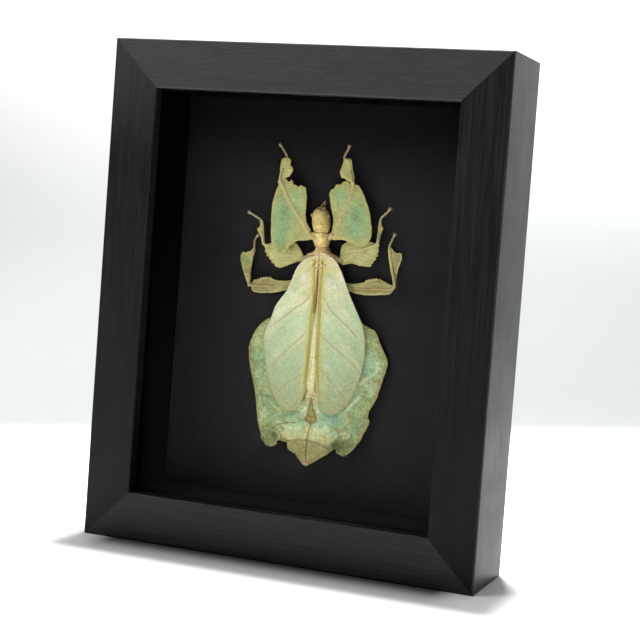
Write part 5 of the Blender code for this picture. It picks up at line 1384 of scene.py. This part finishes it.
legForms = {
    "front_left": {
        "femur": [([(-12.5, 114.8), (-13.6, 113.9)], 0),
                  ([(-14.3, 112.9), (-15.6, 108.5), (-16.0, 104.0), (-15.8, 98.5), (-15.2, 94.2),
                    (-13.8, 92.0), (-12.0, 91.2), (-10.2, 92.2), (-8.8, 94.4), (-6.6, 95.8),
                    (-4.0, 96.2)], 0),
                  ([(-1.85, 96.6), (-2.4, 98.4)], 0),
                  ([(-2.6, 99.5), (-4.3, 102.0), (-4.7, 105.5), (-4.8, 110.0), (-5.3, 112.3)], 0),
                  ([(-6.0, 112.6), (-8.0, 112.5), (-9.8, 113.4)], 3),
                  ([(-10.2, 114.6), (-10.9, 113.9)], 0)],
        "femurCorners": [(-14.3, 112.9), (-13.8, 92.0), (-1.85, 96.6), (-5.3, 112.3)],
        "shaft": [(-1.2, 97.4), (-2.8, 98.3), (-5.2, 101.6), (-8.0, 104.9), (-10.6, 108.6),
                  (-13.3, 113.6)],
        "branches": [
            [(-6.0, 102.3), (-9.0, 99.4), (-12.0, 94.4)],
            [(-8.6, 105.6), (-12.0, 103.6), (-15.0, 99.0)],
            [(-10.6, 108.6), (-13.2, 107.4), (-15.2, 104.6)],
            [(-7.2, 104.0), (-6.2, 107.0), (-6.0, 111.0)],
        ],
        "height": 4.1,
        "tibia": [([(-14.6, 113.0), (-13.2, 113.4)], 0),
                  ([(-12.3, 114.9), (-11.2, 116.0), (-10.4, 117.3), (-11.3, 118.9),
                    (-12.0, 120.7)], 3),
                  ([(-12.7, 121.2), (-13.9, 121.2)], 0),
                  ([(-14.6, 120.6), (-14.6, 118.7), (-14.5, 115.9)], 0)],
        "tibiaCorners": [(-13.9, 121.2), (-14.6, 113.0), (-13.2, 113.4), (-12.7, 121.2)],
        "tibiaShaft": [(-13.8, 113.2), (-13.9, 114.6), (-13.4, 118.0), (-13.1, 121.0)],
        "tibiaHeight": (3.9, 114.0, -0.22),
        "foot": [(-12.9, 120.6, 1.95), (-13.1, 121.6, 1.65), (-14.0, 122.9, 1.25),
                 (-14.9, 124.0, 1.05), (-15.8, 125.0, 1.0)],
        "root": [(0.2, 97.0, 3.2), (-1.6, 97.4, 3.6), (-3.2, 98.5, 3.9)],
        "warm": [(-5.0, 100.6, 2.0, 0.7), (-4.2, 97.8, 1.6, 0.6), (-7.6, 101.4, 1.8, 0.4)],
        "teal": [(-11.5, 105.0, 4.0, 0.7), (-12.5, 100.0, 3.2, 0.8), (-12.6, 95.4, 2.6, 0.6),
                 (-7.0, 109.0, 2.6, 0.5)],
        "shade": [(-11.6, 106.0, 1.6, 0.6), (-11.6, 102.6, 1.8, 0.6), (-11.7, 98.6, 2.0, 0.5),
                  (-12.4, 94.6, 2.2, 0.45)],
    },
    "front_right": {
        "femur": [([(4.4, 99.7), (4.3, 98.4)], 0),
                  ([(4.3, 97.2), (5.6, 97.0), (8.3, 97.2), (11.7, 96.3), (13.5, 95.8), (15.9, 96.5),
                    (17.2, 98.7), (17.1, 102.0), (15.9, 107.0), (13.9, 111.4)], 0),
                  ([(12.3, 113.9), (11.2, 114.3)], 0),
                  ([(10.2, 113.9), (9.0, 114.6)], 0),
                  ([(8.0, 115.2), (6.8, 114.4), (4.9, 113.4), (3.5, 111.9)], 3),
                  ([(2.7, 111.0), (3.6, 106.6), (4.7, 103.2)], 0)],
        "femurCorners": [(2.9, 111.2), (4.3, 97.2), (15.9, 96.5), (13.9, 111.4)],
        "shaft": [(3.4, 97.4), (4.7, 98.8), (6.8, 103.4), (8.3, 107.0), (9.6, 110.4),
                  (10.6, 114.2)],
        "branches": [
            [(6.2, 102.2), (9.6, 100.2), (13.0, 97.4)],
            [(7.8, 105.6), (11.6, 104.6), (15.8, 101.0)],
            [(9.2, 109.2), (12.0, 108.6), (14.8, 106.6)],
            [(7.2, 104.6), (5.8, 107.6), (4.9, 111.4)],
        ],
        "height": 4.1,
        "tibia": [([(10.9, 113.6), (10.4, 115.0), (10.2, 116.7), (9.3, 119.0), (8.6, 121.2)], 0),
                  ([(8.1, 122.1), (7.1, 122.1), (6.2, 121.9)], 0),
                  ([(5.9, 120.9), (5.7, 119.4), (5.3, 118.0)], 0),
                  ([(5.5, 117.3), (6.3, 116.6), (7.4, 115.8), (8.8, 115.2)], 2),
                  ([(9.2, 114.8), (9.7, 113.8)], 0)],
        "tibiaCorners": [(6.2, 121.9), (9.7, 113.8), (10.9, 113.6), (8.1, 122.1)],
        "tibiaShaft": [(10.3, 113.6), (9.9, 115.4), (8.8, 118.5), (6.9, 122.0)],
        "tibiaHeight": (3.9, 114.5, -0.22),
        "foot": [(6.4, 121.2, 2.0), (5.9, 122.3, 1.65), (6.1, 123.5, 1.25), (6.6, 124.6, 1.05),
                 (7.0, 125.7, 1.0)],
        "root": [(1.8, 97.0, 3.2), (3.6, 97.6, 3.6), (5.0, 99.2, 3.9)],
        "warm": [(6.0, 99.6, 1.8, 0.7), (5.6, 104.6, 1.2, 0.5), (7.6, 98.4, 1.6, 0.4)],
        "teal": [(12.5, 104.6, 4.2, 0.75), (12.6, 100.6, 3.2, 0.6), (6.4, 109.8, 2.6, 0.6)],
        "shade": [(11.4, 106.4, 1.6, 0.5), (12.4, 103.8, 2.0, 0.65), (9.8, 100.4, 1.6, 0.4)],
    },
    "middle_left": {
        "femur": [([(-18.1, 94.0), (-18.4, 93.4)], 0),
                  ([(-17.9, 92.4), (-16.5, 90.1), (-15.0, 88.5)], 5),
                  ([(-13.7, 87.2), (-12.4, 87.0), (-10.3, 87.9), (-7.2, 89.2)], 0),
                  ([(-4.5, 89.8), (-4.5, 90.8)], 0),
                  ([(-5.1, 91.3), (-6.4, 93.6), (-7.9, 95.1), (-11.0, 95.6), (-14.0, 95.0)], 0)],
        "femurCorners": [(-18.1, 94.0), (-13.7, 87.2), (-4.5, 89.8), (-5.1, 91.3)],
        "shaft": [(-3.6, 90.2), (-6.0, 90.5), (-8.8, 91.0), (-12.8, 92.5), (-16.3, 93.6),
                  (-18.2, 93.9)],
        "branches": [
            [(-8.0, 90.8), (-10.4, 89.4), (-12.4, 87.6)],
            [(-11.0, 91.8), (-13.4, 90.4), (-14.8, 88.9)],
            [(-9.4, 91.2), (-10.4, 93.4), (-11.6, 95.2)],
        ],
        "height": 2.45,
        "tibia": [([(-18.0, 93.5), (-18.3, 94.6), (-18.7, 96.2), (-19.1, 98.6), (-19.6, 100.4)], 0),
                  ([(-19.9, 101.3), (-20.6, 101.4)], 0),
                  ([(-20.75, 100.5), (-20.6, 99.5)], 0),
                  ([(-21.45, 98.4), (-20.8, 97.4), (-19.7, 95.9), (-19.0, 93.8)], 0)],
        "tibiaCorners": [(-20.6, 101.4), (-19.0, 93.8), (-18.0, 93.5), (-19.9, 101.3)],
        "tibiaShaft": [(-18.6, 93.8), (-19.0, 95.6), (-19.6, 98.0), (-20.2, 101.1)],
        "tibiaHeight": (2.5, 95.0, -0.12),
        "foot": [(-20.2, 100.8, 1.5), (-20.7, 101.5, 1.2), (-21.9, 102.1, 1.1), (-23.4, 102.8, 1.0),
                 (-24.7, 103.4, 0.95)],
        "root": [(-1.0, 91.4, 2.4), (-3.4, 90.8, 2.4), (-5.6, 90.6, 2.4)],
        "warm": [(-6.4, 91.4, 1.6, 0.5)],
        "teal": [(-13.0, 89.4, 1.8, 0.25)],
        "shade": [(-9.0, 93.8, 2.0, 0.3)],
    },
    "middle_right": {
        "femur": [([(18.4, 97.0), (14.0, 97.5), (10.0, 97.1)], 0),
                  ([(7.4, 95.6), (7.1, 93.0)], 0),
                  ([(7.2, 90.8), (7.4, 89.9)], 0),
                  ([(8.4, 89.6), (11.0, 90.2), (14.0, 89.7)], 0),
                  ([(16.6, 89.7), (18.0, 91.4), (18.9, 93.1), (19.2, 94.6)], 5),
                  ([(19.3, 95.2), (19.1, 96.4)], 0)],
        "femurCorners": [(7.4, 95.6), (7.4, 89.9), (16.6, 89.7), (18.4, 97.0)],
        "shaft": [(6.2, 90.2), (8.2, 90.7), (10.0, 91.4), (14.0, 95.0), (18.2, 96.4)],
        "branches": [
            [(10.0, 91.4), (13.0, 91.6), (16.4, 90.6)],
            [(12.0, 93.4), (15.2, 93.4), (18.4, 92.8)],
            [(11.2, 92.6), (10.6, 94.6), (10.4, 96.6)],
        ],
        "height": 2.45,
        "tibia": [([(19.6, 96.0), (19.4, 97.6), (19.6, 99.1), (19.8, 100.6)], 0),
                  ([(20.25, 101.7), (19.5, 102.7), (19.35, 104.3)], 0),
                  ([(18.85, 104.5), (18.65, 103.0), (18.55, 101.3), (18.75, 98.8)], 0),
                  ([(18.6, 97.2), (18.5, 96.2)], 0)],
        "tibiaCorners": [(18.85, 104.5), (18.5, 96.2), (19.6, 96.0), (19.35, 104.3)],
        "tibiaShaft": [(19.0, 96.2), (19.0, 98.0), (18.9, 100.7), (18.8, 104.2)],
        "tibiaHeight": (2.5, 97.5, -0.12),
        "foot": [(19.0, 103.9, 1.5), (19.2, 104.8, 1.2), (19.9, 105.6, 1.1), (20.9, 106.6, 1.0),
                 (21.6, 107.5, 0.95)],
        "root": [(3.6, 91.4, 2.4), (6.0, 90.9, 2.4), (8.2, 90.8, 2.4)],
        "warm": [(9.0, 91.6, 1.6, 0.5)],
        "teal": [(15.0, 91.6, 2.2, 0.3)],
        "shade": [(10.0, 95.6, 2.0, 0.3)],
    },
    "hind_left": {
        "femur": [([(-21.9, 80.5), (-21.3, 79.1), (-19.2, 78.6), (-15.5, 78.9), (-10.9, 79.9),
                    (-7.5, 81.5), (-4.6, 83.5)], 0),
                  ([(-2.9, 84.6), (-2.9, 85.6)], 0),
                  ([(-3.2, 86.4), (-6.0, 84.6), (-9.6, 83.2), (-13.4, 83.0)], 0),
                  ([(-15.2, 83.5), (-17.5, 83.4), (-19.5, 82.7)], 6),
                  ([(-21.3, 82.0), (-21.8, 81.4)], 0)],
        "femurCorners": [(-21.3, 82.0), (-21.3, 79.1), (-2.9, 84.6), (-3.2, 86.4)],
        "shaft": [(-2.4, 85.6), (-4.6, 84.6), (-8.0, 82.9), (-14.0, 81.3), (-21.6, 80.8)],
        "branches": [
            [(-6.0, 83.5), (-11.0, 81.0), (-16.0, 79.8), (-20.6, 79.8)],
            [(-8.6, 82.9), (-13.0, 82.2), (-17.0, 82.4), (-20.0, 82.0)],
        ],
        "height": 2.3,
        "tibia": [([(-21.9, 80.5), (-22.3, 82.0), (-22.5, 85.5), (-22.2, 89.0)], 0),
                  ([(-21.7, 92.2), (-22.5, 92.3)], 0),
                  ([(-23.4, 91.3), (-24.4, 90.8), (-25.5, 90.5)], 2),
                  ([(-26.4, 90.3), (-26.4, 88.6), (-25.4, 85.6), (-24.0, 82.8)], 0),
                  ([(-23.2, 81.0), (-22.9, 80.3)], 0)],
        "tibiaCorners": [(-26.4, 90.3), (-22.9, 80.3), (-21.9, 80.5), (-21.7, 92.2)],
        "tibiaShaft": [(-22.3, 80.8), (-22.6, 83.0), (-22.6, 86.0), (-22.4, 89.0), (-22.1, 92.0)],
        "tibiaHeight": (2.3, 82.0, -0.07),
        "foot": [(-22.1, 91.6, 1.5), (-22.2, 92.9, 1.2), (-22.3, 94.4, 1.05), (-22.0, 95.6, 1.0),
                 (-21.5, 96.3, 0.95)],
        "root": [(0.0, 86.6, 1.9), (-2.4, 85.8, 2.1), (-4.4, 84.8, 2.2)],
        "warm": [(-5.0, 84.6, 1.4, 0.5)],
        "teal": [(-25.0, 88.8, 1.2, 0.9)],
        "shade": [(-16.0, 81.0, 2.5, 0.2)],
    },
    "hind_right": {
        "femur": [([(25.0, 84.3), (22.8, 85.2)], 0),
                  ([(20.9, 86.0), (19.0, 86.0), (17.2, 85.7)], 5),
                  ([(15.8, 84.9), (12.5, 84.1), (9.6, 84.2), (7.2, 85.4)], 0),
                  ([(5.7, 86.2), (5.6, 85.3)], 0),
                  ([(5.6, 84.4), (8.0, 82.8), (11.2, 81.6), (15.0, 81.0), (20.0, 81.3),
                    (23.6, 81.9), (25.1, 83.2)], 0)],
        "femurCorners": [(5.7, 86.2), (5.6, 84.4), (24.5, 82.5), (25.0, 84.3)],
        "shaft": [(5.0, 85.8), (7.0, 84.6), (10.5, 83.2), (16.0, 82.8), (24.8, 83.6)],
        "branches": [
            [(9.0, 83.8), (14.0, 83.9), (19.0, 85.0), (22.0, 85.0)],
            [(10.5, 83.2), (15.0, 81.9), (20.0, 82.0), (23.6, 82.6)],
        ],
        "height": 2.3,
        "tibia": [([(25.7, 84.2), (25.75, 88.6), (26.5, 91.6), (26.8, 93.1)], 0),
                  ([(26.4, 94.6), (24.9, 94.5), (23.8, 95.3)], 0),
                  ([(22.9, 96.1), (22.2, 95.8)], 0),
                  ([(22.1, 95.0), (23.2, 90.5), (24.7, 85.6)], 0),
                  ([(24.7, 84.0), (25.3, 83.6)], 0)],
        "tibiaCorners": [(22.2, 95.8), (24.7, 84.0), (25.7, 84.2), (26.4, 94.6)],
        "tibiaShaft": [(25.2, 83.8), (25.1, 86.4), (24.1, 90.4), (22.7, 95.8)],
        "tibiaHeight": (2.3, 85.0, -0.07),
        "foot": [(22.5, 95.5, 1.5), (22.5, 96.5, 1.2), (22.8, 97.5, 1.05), (23.2, 98.6, 1.0),
                 (23.7, 99.8, 0.95)],
        "root": [(2.8, 86.8, 1.9), (5.2, 86.0, 2.1), (7.2, 85.0, 2.2)],
        "warm": [(7.4, 84.6, 1.4, 0.5)],
        "teal": [(25.4, 92.4, 1.6, 0.3)],
        "shade": [(17.0, 83.2, 2.5, 0.2)],
    },
}

legLooks = {
    "front": {
        "leaf": (0.46, 0.47, 0.185), "deep": (0.32, 0.355, 0.13), "teal": (0.28, 0.50, 0.265),
        "margin": (0.50, 0.43, 0.15), "shaft": (0.54, 0.42, 0.19), "limb": (0.62, 0.46, 0.22),
        "shade": (0.14, 0.21, 0.10), "slot": "front_leg",
        "femurShaft": (0.95, 0.26), "tibiaShaft": (0.5, 0.10), "knee": 0.34,
        "marginWide": 1.2, "grainTurn": 60.0, "streaks": 0.2, "lightTibia": 0.3, "grains": 0.55,
    },
    "middle": {
        "leaf": (0.54, 0.53, 0.235), "deep": (0.40, 0.37, 0.14), "teal": (0.33, 0.44, 0.21),
        "margin": (0.48, 0.40, 0.14), "shaft": (0.60, 0.50, 0.25), "limb": (0.58, 0.47, 0.22),
        "shade": (0.26, 0.24, 0.085), "slot": "middle_leg",
        "femurShaft": (0.4, 0.12), "tibiaShaft": (0.35, 0.2), "knee": 0.3,
        "marginWide": 0.9, "grainTurn": 5.0, "streaks": 0.3, "lightTibia": 0.1, "grains": 0.7,
    },
    "hind": {
        "leaf": (0.47, 0.43, 0.175), "deep": (0.27, 0.23, 0.085), "teal": (0.18, 0.30, 0.12),
        "margin": (0.52, 0.45, 0.19), "shaft": (0.40, 0.31, 0.13), "limb": (0.50, 0.40, 0.18),
        "shade": (0.20, 0.16, 0.06), "slot": "hind_leg",
        "femurShaft": (0.45, 0.12), "tibiaShaft": (0.5, 0.28), "knee": 0.36,
        "marginWide": 0.7, "grainTurn": 3.0, "streaks": 0.8, "lightTibia": 0.1, "grains": 0.8,
    },
}


def limbLeaf(form, part, height, look, seed, chance):
    # A thin plate at its height, with a rounded shaft, finer branches and a rim bent back
    shaftLine = form["shaft" if part == "femur" else "tibiaShaft"]
    half, shaftRise = look[part + "Shaft"]
    loop = outline(form[part], chance, reach=0.55)
    x, z = leafGrid(loop, form[part + "Corners"], *legs[part + "Grid"])
    rim = rimDistance(x, z, loop)
    shaft = nearLine(x, z, shaftLine, 24)
    lift = height + shaftRise * bell(shaft, half)
    for step, (rise, size) in enumerate(legs["waves"]):
        lift += rise * hills(x, z, size, seed + step)
    rise, across, along = legs["creases"]
    lift += rise * drawnHills(x, z, look["grainTurn"], across, along, seed + 2)
    branch = np.full(x.shape, legs["far"])
    if part == "femur":
        branch = np.min([nearLine(x, z, line, 24) for line in form["branches"]], axis=0)
        lift += legs["branchRise"] * bell(branch, legs["branchHalf"])
    lift -= legs["rimBend"] * np.exp(-rim / legs["rimReach"])
    thick = legs["thick"] * thinRim(rim, 0.4) + legs["shaftThick"] * bell(shaft, half)
    streak = drawnHills(x, z, look["grainTurn"], *legs["streaks"], seed + 3)
    marks = {
        "rim": rim,
        "shaft": np.exp(-(shaft / (half * legs["shaftColour"])) ** 4),
        "branch": soft(branch, legs["branchColour"]),
        "tibia": np.full(x.shape, float(part == "tibia")),
        "streak": np.clip(0.5 + 0.5 * streak, 0, 1),
    }
    for name in ("warm", "teal", "shade"):
        marks[name] = glow(x, z, form[name])
    return leafSolid(x, z, lift, thick, marks)


def limbTube(points, radius, taper, swell=0.0, joints=1, rings=60):
    solid = beadedTube(points, radius, joints, swell, taper, 16, rings)
    solid[2]["limb"] = np.ones(len(solid[0]))
    solid[2]["rim"] = np.full(len(solid[0]), legs["far"])
    return solid


def legSolid(name, look, seed, chance):
    form = legForms[name]
    start, startZ, slope = form["tibiaHeight"]
    femur = limbLeaf(form, "femur", form["height"], look, seed, chance)
    tibia = limbLeaf(form, "tibia", start, look, seed + 5, chance)
    tibia[0][:, 1] -= slope * (tibia[0][:, 2] - startZ)  # it sinks along its length
    upper, lower, rise = form["shaft"][-2:], form["tibiaShaft"][1:3], legs["kneeRise"]
    bend = [(*upper[0], form["height"]), (*upper[1], form["height"] + rise),
            (*lower[0], start + rise), (*lower[1], start + slope * (lower[1][1] - startZ))]
    knee = limbTube(bend, look["knee"], legs["kneeTaper"])
    root = limbTube(form["root"], legs["rootRadius"], legs["rootTaper"])
    foot = limbTube(form["foot"], legs["footRadius"], legs["footTaper"], legs["footSwell"],
                    legs["footJoints"], legs["footRings"])
    return joined([femur, tibia, knee, root, foot])


def clawSolid(name):
    # Two hooks and a soft pad between them, at the end of the foot
    path = np.array(legForms[name]["foot"])
    end, ahead = path[-1], path[-1] - path[-2]
    ahead = np.array((ahead[0], ahead[1], 0.0)) / np.hypot(ahead[0], ahead[1])
    solids = []
    for side in (-1, 0, 1):
        turn = math.radians(side * legs["clawSpread"])
        aim = np.array((ahead[0] * math.cos(turn) - ahead[1] * math.sin(turn),
                        ahead[0] * math.sin(turn) + ahead[1] * math.cos(turn), 0.0))
        aim *= legs["clawLength"] * (1.0 if side else legs["padLength"])
        line = [end - ahead * legs["clawRoot"]]
        line += [end + aim * share + (0, 0, rise) for share, rise in legs["clawPath"]]
        radius = legs["clawRadius"] * (1.0 if side else legs["padWide"])
        taper = legs["clawTaper"] if side else legs["padTaper"]
        solids.append(beadedTube(line, radius, 1, 0.0, taper, sides=10, rings=30))
    return joined(solids)


def legSkin(name, look):
    paint = Paint(name)
    slow, middling = paint.clouds(5.0, 3.0), paint.clouds(1.6, 3.0)
    fine = paint.clouds(0.55, 3.0, 0.65)
    net = paint.cells(0.85)
    margin = paint.mark("rim") + (middling - 0.5) * 1.2
    colour = paint.mix(slow.rise(0.35, 0.65), look["deep"], look["leaf"])
    colour = paint.layered(colour, [
        ((paint.mark("teal") * (0.5 + middling)).least(0.95), look["teal"]),
        ((paint.mark("shade") * fine.rise(0.3, 0.6) * 1.3).least(0.95), look["shade"]),
        (paint.mark("warm") * (0.4 + middling * 0.6).least(1.0), look["shaft"]),
        (paint.mark("streak").rise(0.5, 0.75) * look["streaks"], look["deep"]),
        (fine.rise(0.55, 0.75) * 0.35, look["shade"]),
        (net.rise(0.15, 0.0) * 0.2, look["margin"]),
        (margin.rise(look["marginWide"], 0.15) * 0.85, look["margin"]),
        (paint.mark("branch") * 0.16, look["shaft"]),
        (paint.mark("shaft") * (0.55 + fine * 0.5).least(0.95), look["shaft"]),
        (paint.mark("limb"), paint.mix(middling, look["limb"], look["shaft"])),
        (paint.mark("joint") * paint.mark("limb") * 0.45, look["shade"]),
    ])
    colour = paint.scaled(colour, 1 + paint.mark("tibia") * look["lightTibia"])
    relief = net.rise(0.0, 0.22) * 0.5 + fine * 0.5
    return cuticle(paint, colour, 0.26, 0.03, 0.48, paint.bump(relief, 0.08), look["grains"])


def clawSkin():
    paint = Paint("clawSkin")
    colour = paint.mix(paint.mark("along").rise(0.3, 0.95), legs["claw"], legs["clawTip"])
    return cuticle(paint, colour, 0.12, 0.01, 0.35)


def buildLegs():
    claw = clawSkin()
    seed = 41
    chance = np.random.default_rng(9)
    for pair, look in legLooks.items():
        skin = legSkin(pair + "LegSkin", look)
        for side in ("left", "right"):
            name = pair + "_" + side
            nodes = [bone + "_" + name for bone in ("femur", "tibia", "tarsus")]
            solid = legSolid(name, look, seed, chance)
            addPiece("leg_" + name, solid, skin, nodes, crease=70.0)
            addPiece("claws_" + name, clawSolid(name), claw, crease=75.0)
            seed += 20
    print("legs built")


# Stage, lights and camera

stage = {
    "front": -1600.0, "wall": 900.0, "bend": 420.0, "top": 2200.0, "half": 2600.0,
    "white": (0.95, 0.95, 0.95),
    "dusk": (0.485, 0.50, 0.495),  # painted shade of the floor's far part and the foot of the wall
    "duskNear": (0.335, 0.347, 0.343),  # painted shade of the floor before it
    "duskRun": (-0.733, 0.68),  # both grow this way back,
    "duskFrom": (155.0, 265.0),  # from white to the nearer tone
    "duskDeep": (250.0, 950.0),  # and on to the farther one
    "duskTop": (330.0, 60.0),  # heights between which the wall turns from white to them
    "foot": (0.02, 0.02, 0.02),  # painted shadow on the floor along the front of the frame
    "footReach": (24.0, 1.0),
    "footInset": 12.0,  # it ends this far in from the frame's sides
    "footFront": 1.0,  # and begins this far behind its face
    "footShare": 0.95,
    "world": (0.94, 0.97, 1.0), "worldStrength": 0.13,
}

lamps = {  # place, aim, size and power in watts
    "key": ((-700.0, -640.0, 860.0), (0.0, 0.0, 80.0), 460.0, 5.6),
    "above": ((-25.0, 130.0, 1150.0), (0.0, 60.0, 0.0), 90.0, 27.0),
    "wash": ((-200.0, 100.0, 1300.0), (-400.0, 900.0, 250.0), 1200.0, 1.8),
}

view = {  # the camera, set so that the frame's corners fall where the photo has them
    "place": (169.42, -425.56, 105.36),
    "right": (0.93235, 0.3539, 0.07396),
    "up": (-0.08644, 0.01957, 0.99606),
    "back": (0.35106, -0.93508, 0.04884),
    "lens": 84.79,
    "shift": (-0.02689, -0.0520),
}


def sweep():
    # The floor runs back, bends up along a quarter circle and goes on as the wall
    turn = np.radians(np.linspace(0, 90, 25))
    bend = np.stack([stage["wall"] - stage["bend"] + stage["bend"] * np.sin(turn),
                     stage["bend"] * (1 - np.cos(turn))], axis=1)
    profile = np.vstack([[(stage["front"], 0.0)], bend, [(stage["wall"], stage["top"])]])
    points = np.vstack([np.column_stack([np.full(len(profile), side * stage["half"]), profile])
                        for side in (-1, 1)])
    index = np.arange(len(points)).reshape(2, -1)
    faces = np.stack([index[0, :-1], index[1, :-1], index[1, 1:], index[0, 1:]], axis=-1)
    mesh = bpy.data.meshes.new("sweep")
    mesh.from_pydata((points * mm).tolist(), [], faces.tolist())
    mesh.shade_smooth()
    paint = Paint("whiteSweep")
    along, back = stage["duskRun"]
    away = paint.axis("X") * along + paint.axis("Y") * back + (paint.clouds(60.0, 2.0) - 0.5) * 4
    # Painted shade: the sweep greys further back and to the left, and low on the wall
    dusk = away.rise(*stage["duskFrom"]) * paint.axis("Z").rise(*stage["duskTop"])
    far = paint.mix(away.rise(*stage["duskDeep"]), stage["duskNear"], stage["dusk"])
    shade = paint.mix(dusk, stage["white"], far)
    # The painted shadow at the frame's foot fades with the distance ahead of the frame, and twice
    # as fast beside it
    aside = paint.axis("X").size() - (caseWidth / 2 - stage["footInset"])
    ahead = frontFace + stage["footFront"] - paint.axis("Y")
    apart = ((aside.most(0.0) * 2) ** 2 + ahead ** 2) ** 0.5
    foot = apart.rise(*stage["footReach"]) * ahead.rise(-1.0, 0.5)
    shade = paint.mix(foot * foot * stage["footShare"], shade, stage["foot"])
    mesh.materials.append(paint.finish(shade, 0.9, Specular_IOR_Level=0.1))
    made = inScene("sweep", mesh)


def facing(right, up, back):
    # The turn that gives an object these axes
    return Matrix(np.column_stack([right, up, back]).tolist()).to_euler()


def lightStage():
    world = bpy.data.worlds.new("studio")
    world.use_nodes = True
    background = world.node_tree.nodes["Background"]
    background.inputs["Color"].default_value = (*stage["world"], 1.0)
    background.inputs["Strength"].default_value = stage["worldStrength"]
    bpy.context.scene.world = world
    for name, (place, aim, size, power) in lamps.items():
        lamp = bpy.data.lights.new(name, "AREA")
        lamp.size = size * mm
        lamp.energy = power
        made = inScene(name, lamp)
        made.location = [c * mm for c in place]
        back = unit(np.array(place) - np.array(aim))
        right = unit(np.cross((0.0, 0.0, 1.0), back))
        made.rotation_euler = facing(right, np.cross(back, right), back)


def placeCamera():
    camera = bpy.data.cameras.new("camera")
    camera.lens = view["lens"]
    camera.sensor_width = 36.0
    camera.shift_x, camera.shift_y = view["shift"]
    camera.clip_start = 0.01
    camera.clip_end = 20.0
    made = inScene("camera", camera)
    made.location = [c * mm for c in view["place"]]
    made.rotation_euler = facing(view["right"], view["up"], view["back"])
    bpy.context.scene.camera = made
    bpy.context.scene.view_settings.view_transform = "Standard"
    print("camera placed")


placeCamera()
sweep()
lightStage()
buildRails()
finishCase()
buildBody()
buildWings()
buildAbdomen()
buildFace()
buildLegs()
